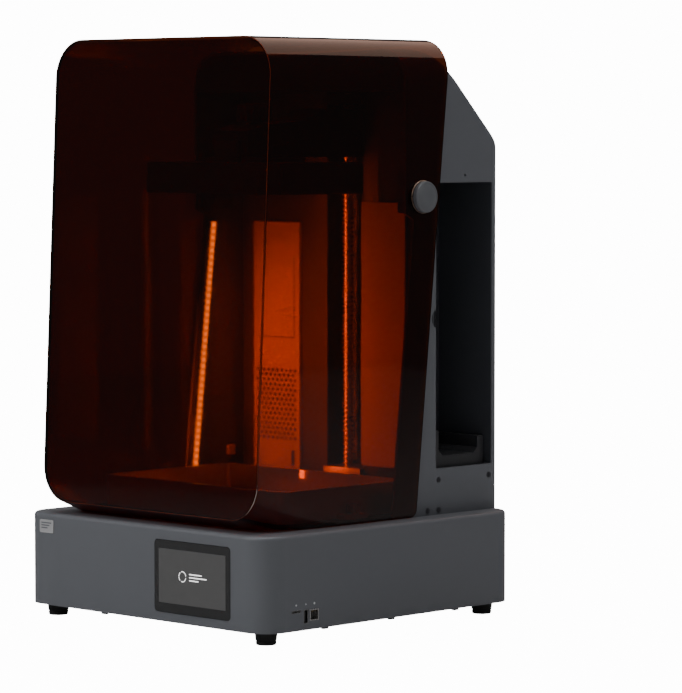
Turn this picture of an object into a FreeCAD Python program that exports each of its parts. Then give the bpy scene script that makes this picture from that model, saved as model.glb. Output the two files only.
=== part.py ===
"""A desktop resin printer: base housing, pivoting hood, rear column, Z axis, vat and platform.

Millimetres, +Z up, front towards -Y. The origin is under the centre of the base, at the
bottom of the feet.
"""

import FreeCAD, Part
import math
import os
import re
import Sketcher

# Driving dimensions. Every size and place below is worked out from these.
SIZES = {
    # base housing and feet
    "foot_tall": 14, "foot_wide": 24, "foot_toe": 20.6, "foot_inset": 26,
    "case_wide": 371, "case_deep": 376, "case_tall": 98, "case_corner": 28,
    "case_wall": 3, "case_edge": 4, "floor_thick": 2, "seam": 0.2,
    "post_wide": 9, "post_inset": 12, "post_reach": 100,
    "screw_wide": 3, "screw_head": 6, "screw_head_tall": 1.6,
    # touchscreen and badge
    "glass_low_x": 21.6, "glass_wide": 113, "glass_rise": 9.6, "glass_tall": 75.2,
    "glass_thick": 3.4, "glass_corner": 4.5, "module_lip": 4, "module_deep": 8,
    "badge_mid_x": -147.5, "badge_mid_rise": 84, "badge_wide": 22, "badge_tall": 14, "badge_thick": 1,
    # ports in the right side
    "port_reach": 21, "port_board_thick": 1.6, "port_shell": 0.35,
    "card_front_y": -151, "card_wide": 12.3, "card_tall": 2.4, "card_rise": 18.6,
    "usb_front_y": -133.9, "usb_wide": 5.7, "usb_tall": 13.8, "usb_rise": 7.1,
    "net_front_y": -125.3, "net_wide": 12.8, "net_tall": 11.6, "net_rise": 9,
    # inside the base
    "print_mid_y": -23, "deck_thick": 4,
    "light_tall": 42, "light_wall": 2,
    "led_board_thick": 2, "sink_tall": 26, "sink_floor": 5, "fin_thick": 2,
    "board_wide": 100, "board_deep": 90, "supply_wide": 100, "supply_deep": 90, "supply_tall": 38,
    "fan_room": 18, "fan_rim": 4, "fan_deep": 25, "fan_hub": 32, "blade_thick": 1.6, "fan_mid_x": -90,
    "inlet_wide": 27, "inlet_tall": 19.8, "inlet_mid_x": 120, "inlet_deep": 22,
    "rocker_wide": 15, "rocker_tall": 10, "rocker_mid_x": 78, "rocker_tilt": 8,
    # rear column
    "side_gap": 1, "column_wall": 3, "column_tall": 492, "column_round": 35,
    "column_low_y": 22, "column_high_y": 54, "head_rise": 313, "head_front_y": 41, "head_step": 7,
    "slope_reach": 102, "slope_round": 45, "column_edge": 8,
    "bay_front_y": 89.5, "bay_deep": 88.9, "bay_rise": 48, "bay_tall": 304.4, "bay_reach": 77,
    "liner_wall": 2, "notch_wide": 21, "notch_rise": 208,
    "back_wall_y": 112, "sheet_thick": 2, "head_cover_rise": 448,
    "channel_left": 26, "channel_right": 30, "channel_deep": 36, "channel_wall": 4,
    "cover_wide": 220, "cover_rise": 38, "cover_tall": 290, "cover_thick": 2, "cover_lip": 8,
    "panel_left": 136, "panel_right": 66, "panel_rise": 27, "panel_thick": 3,
    "light_bar_rise": 28, "light_bar_tall": 278, "light_bar_low_y": 32.3, "light_bar_high_y": 61.4,
    "light_bar_wide": 9, "light_bar_thick": 5, "bead_side": 3.6, "bead_thick": 1.2, "bead_count": 39,
    # Z axis
    "screw_y": 118, "screw_dia": 12, "journal_dia": 8, "screw_rise": 39.3, "screw_tall": 394.4,
    "rail_x": 14, "rail_wide": 9, "rail_thick": 6.5, "rail_rise": 44, "rail_tall": 374,
    "rail_overlap": 3.5,
    "carriage_wide": 19, "carriage_thick": 12, "fit": 0.1, "motor_side": 42.3, "motor_tall": 48,
    "shaft_dia": 5, "coupling_dia": 18, "coupling_rise": 0.5, "coupling_tall": 21.5,
    "bearing_tall": 12, "arm_rise": 378, "arm_lift": 5, "arm_tall": 54, "carriage_tall": 34,
    "nut_dia": 22, "nut_block_half": 15,
    # arm and build platform
    "arm_half": 27, "slot_half": 18, "slot_tall": 18, "arm_front_y": -58, "arm_root_y": 30,
    "platform_wide": 203, "platform_deep": 126, "platform_thick": 33,
    "platform_corner": 5, "clamp_knob_dia": 34, "clamp_knob_tall": 20, "clamp_pin_dia": 8,
    "gap": 0.3,
    # vat
    "vat_margin_x": 36.5, "vat_margin_y": 31, "vat_tall": 33, "vat_wall": 6, "vat_corner": 14,
    "vat_floor": 3, "film_thick": 0.2, "film_lip": 6, "ring_thick": 2.4, "vat_window_gap": 5,
    "tab_wide": 15, "tab_deep": 34, "tab_thick": 5, "vat_knob_dia": 14, "vat_knob_tall": 10,
    "vat_pin_dia": 4,
    # hood
    "hood_room": 10.3, "hood_wall": 3, "hood_gap": 0.8, "hood_tall": 502.3, "sill_rise": 12.5,
    "hood_sill_y": -180, "hood_brow_y": -156.9, "hood_return": 27, "hood_rear_low_y": 55.3,
    "hood_rear_high_y": 107, "hood_round": 40, "hood_sill_round": 37, "hood_heel": 9,
    "pivot_y": 64.3, "pivot_rise": 337, "pin_dia": 10, "bush_dia": 20, "bush_rim": 35,
    "bush_rim_thick": 1.5, "cap_dia": 33, "cap_thick": 5.5, "pin_fit": 0.05,
}

doc = FreeCAD.newDocument("resin_printer")
sheet = doc.addObject("Spreadsheet::Sheet", "Sizes")
for row, (alias, number) in enumerate(SIZES.items(), 1):
    sheet.set(f"A{row}", alias)
    sheet.set(f"B{row}", str(number))
    sheet.setAlias(f"B{row}", alias)
doc.recompute()

# Named places and sizes that follow from the driving dimensions.
PLACES = {
    # base
    "case_x": "case_wide / 2", "case_y": "case_deep / 2",
    "floor": "foot_tall", "floor_top": "foot_tall + floor_thick",
    "fan_side": "case_tall - fan_room", "fan_bore": "fan_side - fan_rim",
    "fan_mid": "foot_tall + case_tall / 2 - 1",
    "case_top": "foot_tall + case_tall", "ceiling": "case_top - case_wall",
    "mask_wide": "platform_wide + 20", "mask_deep": "platform_deep + 5",
    "mask_top": "case_top + deck_thick",
    "light_wide": "platform_wide - 13", "light_deep": "platform_deep - 16",
    # vat
    "vat_wide": "platform_wide + 2 * vat_margin_x", "vat_deep": "platform_deep + 2 * vat_margin_y",
    "vat_low": "mask_top + gap", "vat_pin_x": "vat_wide / 2 + tab_wide / 2",
    "deck_wide": "vat_wide + 2 * tab_wide - 1", "deck_deep": "vat_deep + 2",
    # hood
    "hood_wide": "vat_wide + 2 * tab_wide + 2 * hood_room", "hood_x": "hood_wide / 2",
    "hood_top": "case_top + hood_tall", "hood_sill": "case_top + sill_rise",
    "pivot_z": "case_top + pivot_rise",
    # column
    "column_x": "hood_x - hood_wall - side_gap", "inner_x": "column_x - column_wall",
    "column_top": "case_top + column_tall", "head_low": "case_top + head_rise",
    "head_cover_low": "case_top + head_cover_rise", "bay_low": "case_top + bay_rise",
    "notch_mid": "case_top + notch_rise", "cover_low": "case_top + cover_rise",
    "panel_low": "case_top + panel_rise", "light_bar_low": "case_top + light_bar_rise",
    "light_bar_high": "light_bar_low + light_bar_tall", "panel_high": "light_bar_high",
    # Z axis and platform
    "web_y": "back_wall_y + channel_deep",
    "carriage_y": "web_y - rail_thick - carriage_thick + rail_overlap",
    "coupling_low": "mask_top + coupling_rise", "screw_low": "case_top + screw_rise",
    "screw_high": "screw_low + screw_tall", "rail_low": "case_top + rail_rise",
    "rail_high": "rail_low + rail_tall", "arm_low": "case_top + arm_rise",
    "slot_top": "arm_low + slot_tall", "platform_low": "arm_low - arm_lift - platform_thick",
    "platform_top": "arm_low - arm_lift",
}

WORD = re.compile(r"[a-z]\w*")
PLANES = {"XY": ("XY_Plane", 1), "XZ": ("XZ_Plane", -1), "YZ": ("YZ_Plane", 1)}
TURNS = {
    "X": FreeCAD.Rotation(FreeCAD.Vector(0, 1, 0), 90),
    "Y": FreeCAD.Rotation(FreeCAD.Vector(1, 0, 0), -90),
    "Z": FreeCAD.Rotation(),
}
nodes = []


# ---------------------------------------------------------------- tools for modelling

def cells(text):
    """An expression with each place written out and each alias pointing at its cell."""
    def swap(word):
        if word[0] in PLACES:
            return f"({cells(PLACES[word[0]])})"
        return f"Sizes.{word[0]}" if word[0] in SIZES else word[0]
    return WORD.sub(swap, str(text))


def value(text):
    """What an expression comes to, in millimetres."""
    return float(sheet.evalExpression(cells(text)))


def bind(item, name, text):
    item.setExpression(name, cells(text))


def keep(item, name):
    """Make an object one of the printer's sub-parts."""
    item.Label = name
    nodes.append(item)
    return item


def new_body():
    return doc.addObject("PartDesign::Body", "body")


def sketch_on(body, plane, place):
    """A sketch on one of the body's own planes, moved along that plane's axis."""
    role, side = PLANES[plane]
    flat = next(f for f in body.Origin.OriginFeatures if f.Role == role)
    sketch = body.newObject("Sketcher::SketchObject", "sketch")
    sketch.AttachmentSupport = (flat, [""])
    sketch.MapMode = "FlatFace"
    bind(sketch, "AttachmentOffset.Base.z", f"{side} * ({place})")
    return sketch


def pin_point(sketch, item, end, x, y):
    """Hold a point at two distances from the sketch's origin."""
    for kind, text in (("DistanceX", x), ("DistanceY", y)):
        number = sketch.addConstraint(Sketcher.Constraint(kind, -1, 1, item, end, value(text)))
        bind(sketch, f"Constraints[{number}]", text)


def add_loop(sketch, corners):
    """A closed outline through corners (x, y) or (x, y, radius), each an expression."""
    points = [FreeCAD.Vector(value(c[0]), value(c[1]), 0) for c in corners]
    radii = [value(c[2]) if len(c) > 2 else 0 for c in corners]
    count = len(points)
    ways = [(points[(i + 1) % count] - points[i]).normalize() for i in range(count)]
    cuts = []
    for i in range(count):
        turn = ways[i - 1].getAngle(ways[i])
        cuts.append(radii[i] * math.tan(turn / 2))
    sides = []
    for i in range(count):
        start = points[i] + ways[i] * cuts[i]
        end = points[(i + 1) % count] - ways[i] * cuts[(i + 1) % count]
        sides.append(sketch.addGeometry(Part.LineSegment(start, end), False))
    for i in range(count):
        before, after = sides[i - 1], sides[i]
        if radii[i] == 0:
            sketch.addConstraint(Sketcher.Constraint("Coincident", before, 2, after, 1))
            pin_point(sketch, after, 1, corners[i][0], corners[i][1])
            continue
        left = ways[i - 1].x * ways[i].y - ways[i - 1].y * ways[i].x > 0
        side = 1 if left else -1
        normal = FreeCAD.Vector(-ways[i - 1].y, ways[i - 1].x, 0) * side
        entry = points[i] - ways[i - 1] * cuts[i]
        centre = entry + normal * radii[i]
        leave = points[i] + ways[i] * cuts[i]
        first, last = (entry, leave) if left else (leave, entry)
        angles = [math.atan2(p.y - centre.y, p.x - centre.x) for p in (first, last)]
        if angles[1] < angles[0]:
            angles[1] += 2 * math.pi
        circle = Part.Circle(centre, FreeCAD.Vector(0, 0, 1), radii[i])
        arc = sketch.addGeometry(Part.ArcOfCircle(circle, *angles), False)
        near, far = (1, 2) if left else (2, 1)
        sketch.addConstraint(Sketcher.Constraint("Tangent", before, 2, arc, near))
        sketch.addConstraint(Sketcher.Constraint("Tangent", arc, far, after, 1))
        number = sketch.addConstraint(Sketcher.Constraint("Radius", arc, radii[i]))
        bind(sketch, f"Constraints[{number}]", corners[i][2])
        corner = sketch.addGeometry(Part.Point(points[i]), True)
        pin_point(sketch, corner, 1, corners[i][0], corners[i][1])
        sketch.addConstraint(Sketcher.Constraint("PointOnObject", corner, 1, before))
        sketch.addConstraint(Sketcher.Constraint("PointOnObject", corner, 1, after))


def add_circle(sketch, x, y, radius):
    middle = FreeCAD.Vector(value(x), value(y), 0)
    circle = Part.Circle(middle, FreeCAD.Vector(0, 0, 1), value(radius))
    item = sketch.addGeometry(circle, False)
    pin_point(sketch, item, 3, x, y)
    number = sketch.addConstraint(Sketcher.Constraint("Radius", item, value(radius)))
    bind(sketch, f"Constraints[{number}]", radius)


def box_loop(low_x, low_y, high_x, high_y, *radius):
    """The corners of a rectangle, with one radius on all four when it is given."""
    return [(low_x, low_y, *radius), (high_x, low_y, *radius),
            (high_x, high_y, *radius), (low_x, high_y, *radius)]


def centred_loop(mid_x, mid_y, wide, deep, *radius):
    return box_loop(f"({mid_x}) - ({wide}) / 2", f"({mid_y}) - ({deep}) / 2",
                    f"({mid_x}) + ({wide}) / 2", f"({mid_y}) + ({deep}) / 2", *radius)


def extrude(kind, body, plane, start, end, loops, circles):
    """Pad or pocket a sketch between two places on the axis that its plane faces."""
    before = body.Shape.Volume if body.Tip else 0
    sketch = sketch_on(body, plane, start)
    for loop in loops:
        add_loop(sketch, loop)
    for circle in circles:
        add_circle(sketch, *circle)
    feature = body.newObject(f"PartDesign::{kind}", kind.lower())
    feature.Profile = sketch
    forward = PLANES[plane][1] > 0
    feature.Reversed = forward if kind == "Pocket" else not forward
    bind(feature, "Length", f"({end}) - ({start})")
    doc.recompute()
    change = body.Shape.Volume - before
    if change * (1 if kind == "Pad" else -1) <= 0:
        raise ValueError(f"a {kind} of {body.Label} changes nothing")
    return feature


def pad(body, plane, start, end, *loops, circles=()):
    return extrude("Pad", body, plane, start, end, loops, circles)


def pocket(body, plane, start, end, *loops, circles=()):
    return extrude("Pocket", body, plane, start, end, loops, circles)


def repeat(body, feature, axis, length, count):
    """Repeat a feature evenly along one of the body's axes."""
    line = next(f for f in body.Origin.OriginFeatures if f.Role == f"{axis}_Axis")
    pattern = body.newObject("PartDesign::LinearPattern", "pattern")
    pattern.Originals = [feature]
    pattern.Direction = (line, [""])
    bind(pattern, "Length", length)
    pattern.Occurrences = count
    body.Tip = pattern
    doc.recompute()
    return pattern


def soften(body, radius, chosen, kind="Fillet"):
    """Round or bevel the edges that a test picks."""
    base = body.Tip
    names = [f"Edge{i}" for i, edge in enumerate(base.Shape.Edges, 1) if chosen(edge)]
    feature = body.newObject(f"PartDesign::{kind}", kind.lower())
    feature.Base = (base, names)
    bind(feature, "Radius" if kind == "Fillet" else "Size", radius)
    doc.recompute()
    return feature


def lies(edge, **places):
    """Whether an edge lies wholly at the given places on the axes."""
    box = edge.BoundBox
    for axis, place in places.items():
        low = getattr(box, f"{axis.upper()}Min")
        high = getattr(box, f"{axis.upper()}Max")
        if abs(low - place) > 0.01 or abs(high - place) > 0.01:
            return False
    return True


def runs(edge, axis):
    """Whether an edge is straight along an axis."""
    box = edge.BoundBox
    spans = {"x": box.XLength, "y": box.YLength, "z": box.ZLength}
    long = spans.pop(axis)
    return long > 0.5 and max(spans.values()) < 0.01


def prism(plane, start, end, *loops, circles=()):
    """A body with one padded outline."""
    body = new_body()
    pad(body, plane, start, end, *loops, circles=circles)
    return body


def block(low_x, high_x, low_y, high_y, low_z, high_z):
    """A box between two expressions on each axis."""
    item = doc.addObject("Part::Box", "block")
    for name, low, high in (("Length", low_x, high_x), ("Width", low_y, high_y),
                            ("Height", low_z, high_z)):
        bind(item, name, f"({high}) - ({low})")
    for name, low in (("x", low_x), ("y", low_y), ("z", low_z)):
        bind(item, f"Placement.Base.{name}", low)
    return item


def rod(axis, x, y, z, radius, length):
    """A cylinder that starts at a point and runs along an axis."""
    item = doc.addObject("Part::Cylinder", "rod")
    item.Placement.Rotation = TURNS[axis]
    bind(item, "Radius", radius)
    bind(item, "Height", length)
    for name, place in (("x", x), ("y", y), ("z", z)):
        bind(item, f"Placement.Base.{name}", place)
    return item


def joined(*items):
    item = doc.addObject("Part::MultiFuse", "joined")
    item.Shapes = list(items)
    item.Refine = True
    return item


def without(base, *tools):
    item = doc.addObject("Part::Cut", "cut")
    item.Base = base
    item.Tool = tools[0] if len(tools) == 1 else joined(*tools)
    return item


def shared(*items):
    item = doc.addObject("Part::MultiCommon", "shared")
    item.Shapes = list(items)
    return item


def together(*items):
    """Separate solids that share one node."""
    item = doc.addObject("Part::Compound", "group")
    item.Links = list(items)
    return item


# ---------------------------------------------------------------- base

def base_housing():
    """The grey case: one shell, open below, with its doors, ports and posts."""
    body = new_body()
    outline = centred_loop("0", "0", "case_wide", "case_deep", "case_corner")
    pad(body, "XY", "floor", "case_top", outline)
    top = value("case_top")
    soften(body, "case_edge", lambda edge: lies(edge, z=top))
    inside = ("case_wide - 2 * case_wall", "case_deep - 2 * case_wall", "case_corner - case_wall")
    pocket(body, "XY", "floor", "ceiling", centred_loop("0", "0", *inside))
    for x, y in post_places():
        pad(body, "XY", "floor_top", "ceiling", circles=[(x, y, "post_wide / 2")])
        pocket(body, "XY", "floor_top", "floor_top + 10", circles=[(x, y, "screw_wide / 2")])
    mask = centred_loop("0", "print_mid_y", "mask_wide - 20", "mask_deep - 12", "4")
    pocket(body, "XY", "ceiling - 1", "case_top", mask)
    motor = centred_loop("0", "screw_y", "motor_side + 4", "motor_side + 4", "3")
    pocket(body, "XY", "ceiling - 1", "case_top", motor)
    pocket(body, "XZ", "-case_y", "-case_y + case_wall", glass_loop("seam"))
    wall = ("case_x - case_wall", "case_x")
    for port in (card_loop, usb_loop, net_loop):
        pocket(body, "YZ", *wall, port("seam"))
    rear = ("case_y - case_wall", "case_y")
    pocket(body, "XZ", *rear, inlet_loop("seam"))
    pocket(body, "XZ", *rear, rocker_loop("seam + 1.5"))
    slot_x = "(fan_mid_x - fan_bore / 2 + 4)"
    slot = pocket(body, "XZ", *rear, box_loop(
        slot_x, "fan_mid - fan_bore / 2 + 2", f"{slot_x} + 4", "fan_mid + fan_bore / 2 - 2", "1.9"))
    repeat(body, slot, "X", "fan_bore - 12", 9)
    return keep(body, "base_housing")


def post_places():
    """Where the six screw posts stand, along the two sides of the case."""
    x = "(case_wide / 2 - case_wall - post_inset)"
    places = ("-post_reach", "20", "post_reach")
    return [(f"{side} * {x}", place) for side in (-1, 1) for place in places]


def glass_loop(margin):
    low_z = "foot_tall + glass_rise"
    return box_loop(f"glass_low_x - {margin}", f"{low_z} - {margin}",
                    f"glass_low_x + glass_wide + {margin}", f"{low_z} + glass_tall + {margin}",
                    f"glass_corner + {margin}")


def card_loop(margin):
    low_z = "foot_tall + card_rise"
    return box_loop(f"card_front_y - {margin}", f"{low_z} - {margin}",
                    f"card_front_y + card_wide + {margin}", f"{low_z} + card_tall + {margin}")


def usb_loop(margin):
    return box_loop(f"usb_front_y - {margin}", f"foot_tall + usb_rise - {margin}",
                    f"usb_front_y + usb_wide + {margin}", f"foot_tall + usb_rise + usb_tall + {margin}")


def net_loop(margin):
    return box_loop(f"net_front_y - {margin}", f"foot_tall + net_rise - {margin}",
                    f"net_front_y + net_wide + {margin}", f"foot_tall + net_rise + net_tall + {margin}")


def inlet_loop(margin):
    return centred_loop("inlet_mid_x", "foot_tall + 60", f"inlet_wide + 2 * ({margin})",
                        f"inlet_tall + 2 * ({margin})", "2")


def rocker_loop(margin):
    return centred_loop("rocker_mid_x", "foot_tall + 60", f"rocker_wide + 2 * ({margin})",
                        f"rocker_tall + 2 * ({margin})")


def base_plate():
    """The floor of the case, slotted for air under the board and the supply."""
    body = new_body()
    inside = ("case_wide - 2 * case_wall - 2 * seam", "case_deep - 2 * case_wall - 2 * seam")
    outline = centred_loop("0", "0", *inside, "case_corner - case_wall - seam")
    holes = [(x, y, "screw_wide / 2") for x, y in post_places()]
    pad(body, "XY", "floor", "floor_top", outline, circles=holes)
    for x in ("-150", "80"):
        slot = pocket(body, "XY", "floor", "floor_top", box_loop(x, "60", f"{x} + 4", "110", "1.9"))
        repeat(body, slot, "X", "63", 8)
    return keep(body, "base_plate")


def rubber_feet():
    feet = []
    for side in (-1, 1):
        for end in (-1, 1):
            foot = doc.addObject("Part::Cone", "foot")
            bind(foot, "Radius1", "foot_toe / 2")
            bind(foot, "Radius2", "foot_wide / 2")
            bind(foot, "Height", "foot_tall")
            bind(foot, "Placement.Base.x", f"{side} * (case_wide / 2 - foot_inset)")
            bind(foot, "Placement.Base.y", f"{end} * (case_deep / 2 - foot_inset)")
            feet.append(foot)
    return keep(together(*feet), "rubber_feet")


def base_screws():
    screws = []
    for x, y in post_places():
        head = rod("Z", x, y, "foot_tall - screw_head_tall", "screw_head / 2", "screw_head_tall")
        shank = rod("Z", x, y, "floor", "screw_wide / 2", "floor_thick + 10")
        screws.append(joined(head, shank))
    return keep(together(*screws), "base_screws")


def touchscreen_glass():
    body = new_body()
    pad(body, "XZ", "-case_y - 0.4", "-case_y - 0.4 + glass_thick", glass_loop("0"))
    return keep(body, "touchscreen_glass")


def display_module():
    """The display behind the glass, held against the inside of the front wall."""
    low_z = "foot_tall + glass_rise"
    module = block("glass_low_x - module_lip", "glass_low_x + glass_wide + module_lip",
                   "-case_y + case_wall", "-case_y + case_wall + module_deep",
                   f"{low_z} - module_lip", f"{low_z} + glass_tall + module_lip")
    return keep(module, "display_module")


def badge_plate():
    body = new_body()
    pad(body, "XZ", "-case_y - badge_thick", "-case_y",
        centred_loop("badge_mid_x", "foot_tall + badge_mid_rise", "badge_wide", "badge_tall", "2"))
    return keep(body, "badge_plate")


def port(name, loop, hollow_deep, shell):
    """A socket's metal shell, flush with the case and hollow from the outside."""
    body = new_body()
    pad(body, "YZ", "case_x - port_reach", "case_x", loop("0"))
    pocket(body, "YZ", f"case_x - {hollow_deep}", "case_x", loop(f"-{shell}"))
    return keep(body, name)


def port_board():
    board = block("case_x - port_reach - port_board_thick", "case_x - port_reach",
                  "card_front_y - 1", "net_front_y + net_wide + 4", "foot_tall + 3", "foot_tall + 30")
    rest = block("case_x - port_reach - port_board_thick", "case_x - port_reach + 8",
                 "card_front_y - 1", "net_front_y + net_wide + 4", "floor_top", "foot_tall + 3")
    return keep(joined(board, rest), "port_board")


def power_inlet():
    """A three-pin inlet with its flange seated in the rear wall."""
    body = new_body()
    pad(body, "XZ", "case_y - inlet_deep", "case_y", inlet_loop("0"))
    pocket(body, "XZ", "case_y - 16", "case_y", centred_loop(
        "inlet_mid_x", "foot_tall + 60", "inlet_wide - 3.5", "inlet_tall - 3.5", "1"))
    for shift in ("-7", "0", "7"):
        pad(body, "XZ", "case_y - 16.5", "case_y - 4", centred_loop(
            f"inlet_mid_x + {shift}", "foot_tall + 60", "2", "5"))
    return keep(body, "power_inlet")


def switch_body():
    """The rocker's cup, pressed into the rear wall, with ears that carry its pin."""
    body = new_body()
    pad(body, "XZ", "case_y - 18", "case_y", rocker_loop("1.5"))
    pocket(body, "XZ", "case_y - 15", "case_y", rocker_loop("0"))
    pocket(body, "YZ", "rocker_mid_x - rocker_wide / 2 - 1", "rocker_mid_x + rocker_wide / 2 + 1",
           circles=[("case_y - 6", "foot_tall + 60", "1.05")])
    return keep(body, "switch_body")


def power_rocker():
    """A rocker with two finger faces, turning on a pin along X and tilted to off."""
    body = new_body()
    half = "(rocker_tall / 2 - 0.8)"
    pad(body, "YZ", "-rocker_wide / 2 + 0.4", "rocker_wide / 2 - 0.4", [
        ("-4", f"-{half} + 1.5"), ("2", f"-{half}"), ("4.2", f"-{half}"), ("3.3", "0"),
        ("4.2", half), ("2", half), ("-4", f"{half} - 1.5")])
    pad(body, "YZ", "-rocker_wide / 2 - 0.8", "rocker_wide / 2 + 0.8", circles=[("0", "0", "1")])
    body.Placement.Rotation = FreeCAD.Rotation(FreeCAD.Vector(1, 0, 0), -SIZES["rocker_tilt"])
    bind(body, "Placement.Base.x", "rocker_mid_x")
    bind(body, "Placement.Base.y", "case_y - 6")
    bind(body, "Placement.Base.z", "foot_tall + 60")
    return keep(body, "power_rocker")


def cooling_fan_frame():
    """A square fan frame against the rear slots, with a hub carried on four ribs."""
    body = new_body()
    near, far = "case_y - case_wall - fan_deep", "case_y - case_wall"
    middle = "fan_mid"
    pad(body, "XZ", near, far, centred_loop("fan_mid_x", middle, "fan_side", "fan_side", "4"),
        circles=[("fan_mid_x", middle, "fan_bore / 2")])
    pad(body, "XZ", near, f"{near} + 3", circles=[("fan_mid_x", middle, "fan_hub / 2")])
    pad(body, "XZ", near, f"{near} + 3", centred_loop("fan_mid_x", middle, "fan_bore + 1", "4"))
    pad(body, "XZ", near, f"{near} + 3", centred_loop("fan_mid_x", middle, "4", "fan_bore + 1"))
    pad(body, "XZ", near, f"{near} + 14", circles=[("fan_mid_x", middle, "2")])
    return keep(body, "cooling_fan_frame")


def cooling_fan_impeller():
    """Seven pitched blades round a hub that turns on the frame's pin."""
    near = "case_y - case_wall - fan_deep + 3.5"
    middle = "fan_mid"
    root = "(fan_hub / 2 - 3)"
    hub = rod("Y", "fan_mid_x", near, middle, "fan_hub / 2", "19")
    blades = []
    for number in range(7):
        turn = number * 360 / 7
        blade = doc.addObject("Part::Box", "blade")
        bind(blade, "Length", f"fan_bore / 2 - 2 - {root}")
        bind(blade, "Width", "14")
        bind(blade, "Height", "blade_thick")
        turned = FreeCAD.Rotation(FreeCAD.Vector(0, 1, 0), turn)
        pitched = FreeCAD.Rotation(FreeCAD.Vector(1, 0, 0), 28)
        blade.Placement.Rotation = turned.multiply(pitched)
        bind(blade, "Placement.Base.x", f"fan_mid_x + {root} * cos({turn:.4f})")
        bind(blade, "Placement.Base.y", f"{near} + 2.5")
        bind(blade, "Placement.Base.z", f"{middle} - {root} * sin({turn:.4f})")
        blades.append(blade)
    socket = rod("Y", "fan_mid_x", f"{near} - 1", middle, "2.05", "12")
    return keep(joined(without(hub, socket), *blades), "cooling_fan_impeller")


def light_source():
    """The ultraviolet board on its finned sink, and the box that guides its light up."""
    mid_x, mid_y = "0", "print_mid_y"
    box_low = "ceiling - light_tall"
    board_low = f"{box_low} - led_board_thick"
    body = new_body()
    outer = centred_loop(mid_x, mid_y, "light_wide", "light_deep", "3")
    inner = centred_loop(
        mid_x, mid_y, "light_wide - 2 * light_wall", "light_deep - 2 * light_wall", "1")
    pad(body, "XY", box_low, "ceiling", outer, inner)
    keep(body, "light_box")

    board = block("-light_wide / 2", "light_wide / 2", f"{mid_y} - light_deep / 2",
                  f"{mid_y} + light_deep / 2", board_low, box_low)
    keep(board, "uv_led_board")

    sink = new_body()
    top, floor = board_low, f"{board_low} - sink_floor"
    pad(sink, "XY", floor, top, centred_loop(mid_x, mid_y, "light_wide", "light_deep"))
    fin = pad(sink, "XY", f"{board_low} - sink_tall", floor, box_loop(
        "-light_wide / 2", f"{mid_y} - light_deep / 2",
        "-light_wide / 2 + fin_thick", f"{mid_y} + light_deep / 2"))
    repeat(sink, fin, "X", "light_wide - fin_thick", 14)
    feet_low = "floor_top"
    for x in ("-light_wide / 2", "light_wide / 2 - 8"):
        pad(sink, "XY", feet_low, floor, box_loop(
            x, f"{mid_y} - light_deep / 2", f"{x} + 8", f"{mid_y} - light_deep / 2 + 8"))
        pad(sink, "XY", feet_low, floor, box_loop(
            x, f"{mid_y} + light_deep / 2 - 8", f"{x} + 8", f"{mid_y} + light_deep / 2"))
    keep(sink, "heat_sink")


def mainboard():
    """The control board on its posts, with its processor and connectors."""
    low_x, low_y = "-case_x + 24", "48"
    top = "floor_top + 7.6"
    board = block(low_x, f"{low_x} + board_wide", low_y, f"{low_y} + board_deep", "floor_top + 6", top)
    posts = [rod("Z", f"{low_x} + {x}", f"{low_y} + {y}", "floor_top", "3", "6")
             for x in ("6", "board_wide - 6") for y in ("6", "board_deep - 6")]
    chip = block(f"{low_x} + 30", f"{low_x} + 52", f"{low_y} + 30", f"{low_y} + 52", top, f"{top} + 6")
    plugs = block(f"{low_x} + 70", f"{low_x} + 92", f"{low_y} + 8", f"{low_y} + 16", top, f"{top} + 8")
    return keep(joined(board, chip, plugs, *posts), "mainboard")


def power_supply():
    low_x, low_y = "62", "50"
    body = new_body()
    pad(body, "XY", "floor_top", "floor_top + supply_tall",
        box_loop(low_x, low_y, f"{low_x} + supply_wide", f"{low_y} + supply_deep", "2"))
    slot = pocket(body, "XY", "floor_top + supply_tall - 2", "floor_top + supply_tall", box_loop(
        f"{low_x} + 12", f"{low_y} + 12", f"{low_x} + 15", f"{low_y} + supply_deep - 12"))
    repeat(body, slot, "X", "72", 10)
    return keep(body, "power_supply")


def top_deck():
    """The deck plate round the mask screen, with a hole under each vat screw."""
    body = new_body()
    window = centred_loop("0", "print_mid_y", "mask_wide", "mask_deep", "2")
    holes = [(f"{side} * vat_pin_x", "print_mid_y", "vat_pin_dia / 2 + gap") for side in (-1, 1)]
    pad(body, "XY", "case_top", "mask_top",
        centred_loop("0", "print_mid_y", "deck_wide", "deck_deep", "12"), window, circles=holes)
    return keep(body, "top_deck")


def mask_screen():
    body = new_body()
    pad(body, "XY", "case_top", "mask_top",
        centred_loop("0", "print_mid_y", "mask_wide - 2 * seam", "mask_deep - 2 * seam", "1.8"))
    return keep(body, "mask_screen")


# ---------------------------------------------------------------- column

def column_solid(inset):
    """The column's outer form, or the space inside its walls, where its three views meet."""
    rear = f"(case_y - {inset})"
    half = f"(column_x - {inset})"
    top = f"(column_top - {inset})"
    drop = f"{inset} * tan(22.5)"
    ahead = f"3 * {inset}"
    side = prism("YZ", f"-{half}", half, [
        (f"column_low_y - {ahead}", "case_top"), (rear, "case_top"),
        (rear, f"column_top - slope_reach - {drop}", f"slope_round - {inset}"),
        (f"case_y - slope_reach - {drop}", top, f"slope_round - {inset}"),
        (f"head_front_y - {ahead}", top), (f"head_front_y - {ahead}", "head_low + head_step"),
        (f"column_high_y - {ahead}", "head_low")])
    face = prism("XZ", "column_low_y - 30", rear, [
        (f"-{half}", "case_top"), (half, "case_top"), (half, top, f"column_round - {inset}"),
        (f"-{half}", top, f"column_round - {inset}")])
    plan = prism("XY", "case_top", top, [
        (f"-{half}", "column_low_y - 30"), (half, "column_low_y - 30"),
        (half, rear, f"column_edge - {inset}"), (f"-{half}", rear, f"column_edge - {inset}")])
    return shared(side, face, plan)


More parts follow.
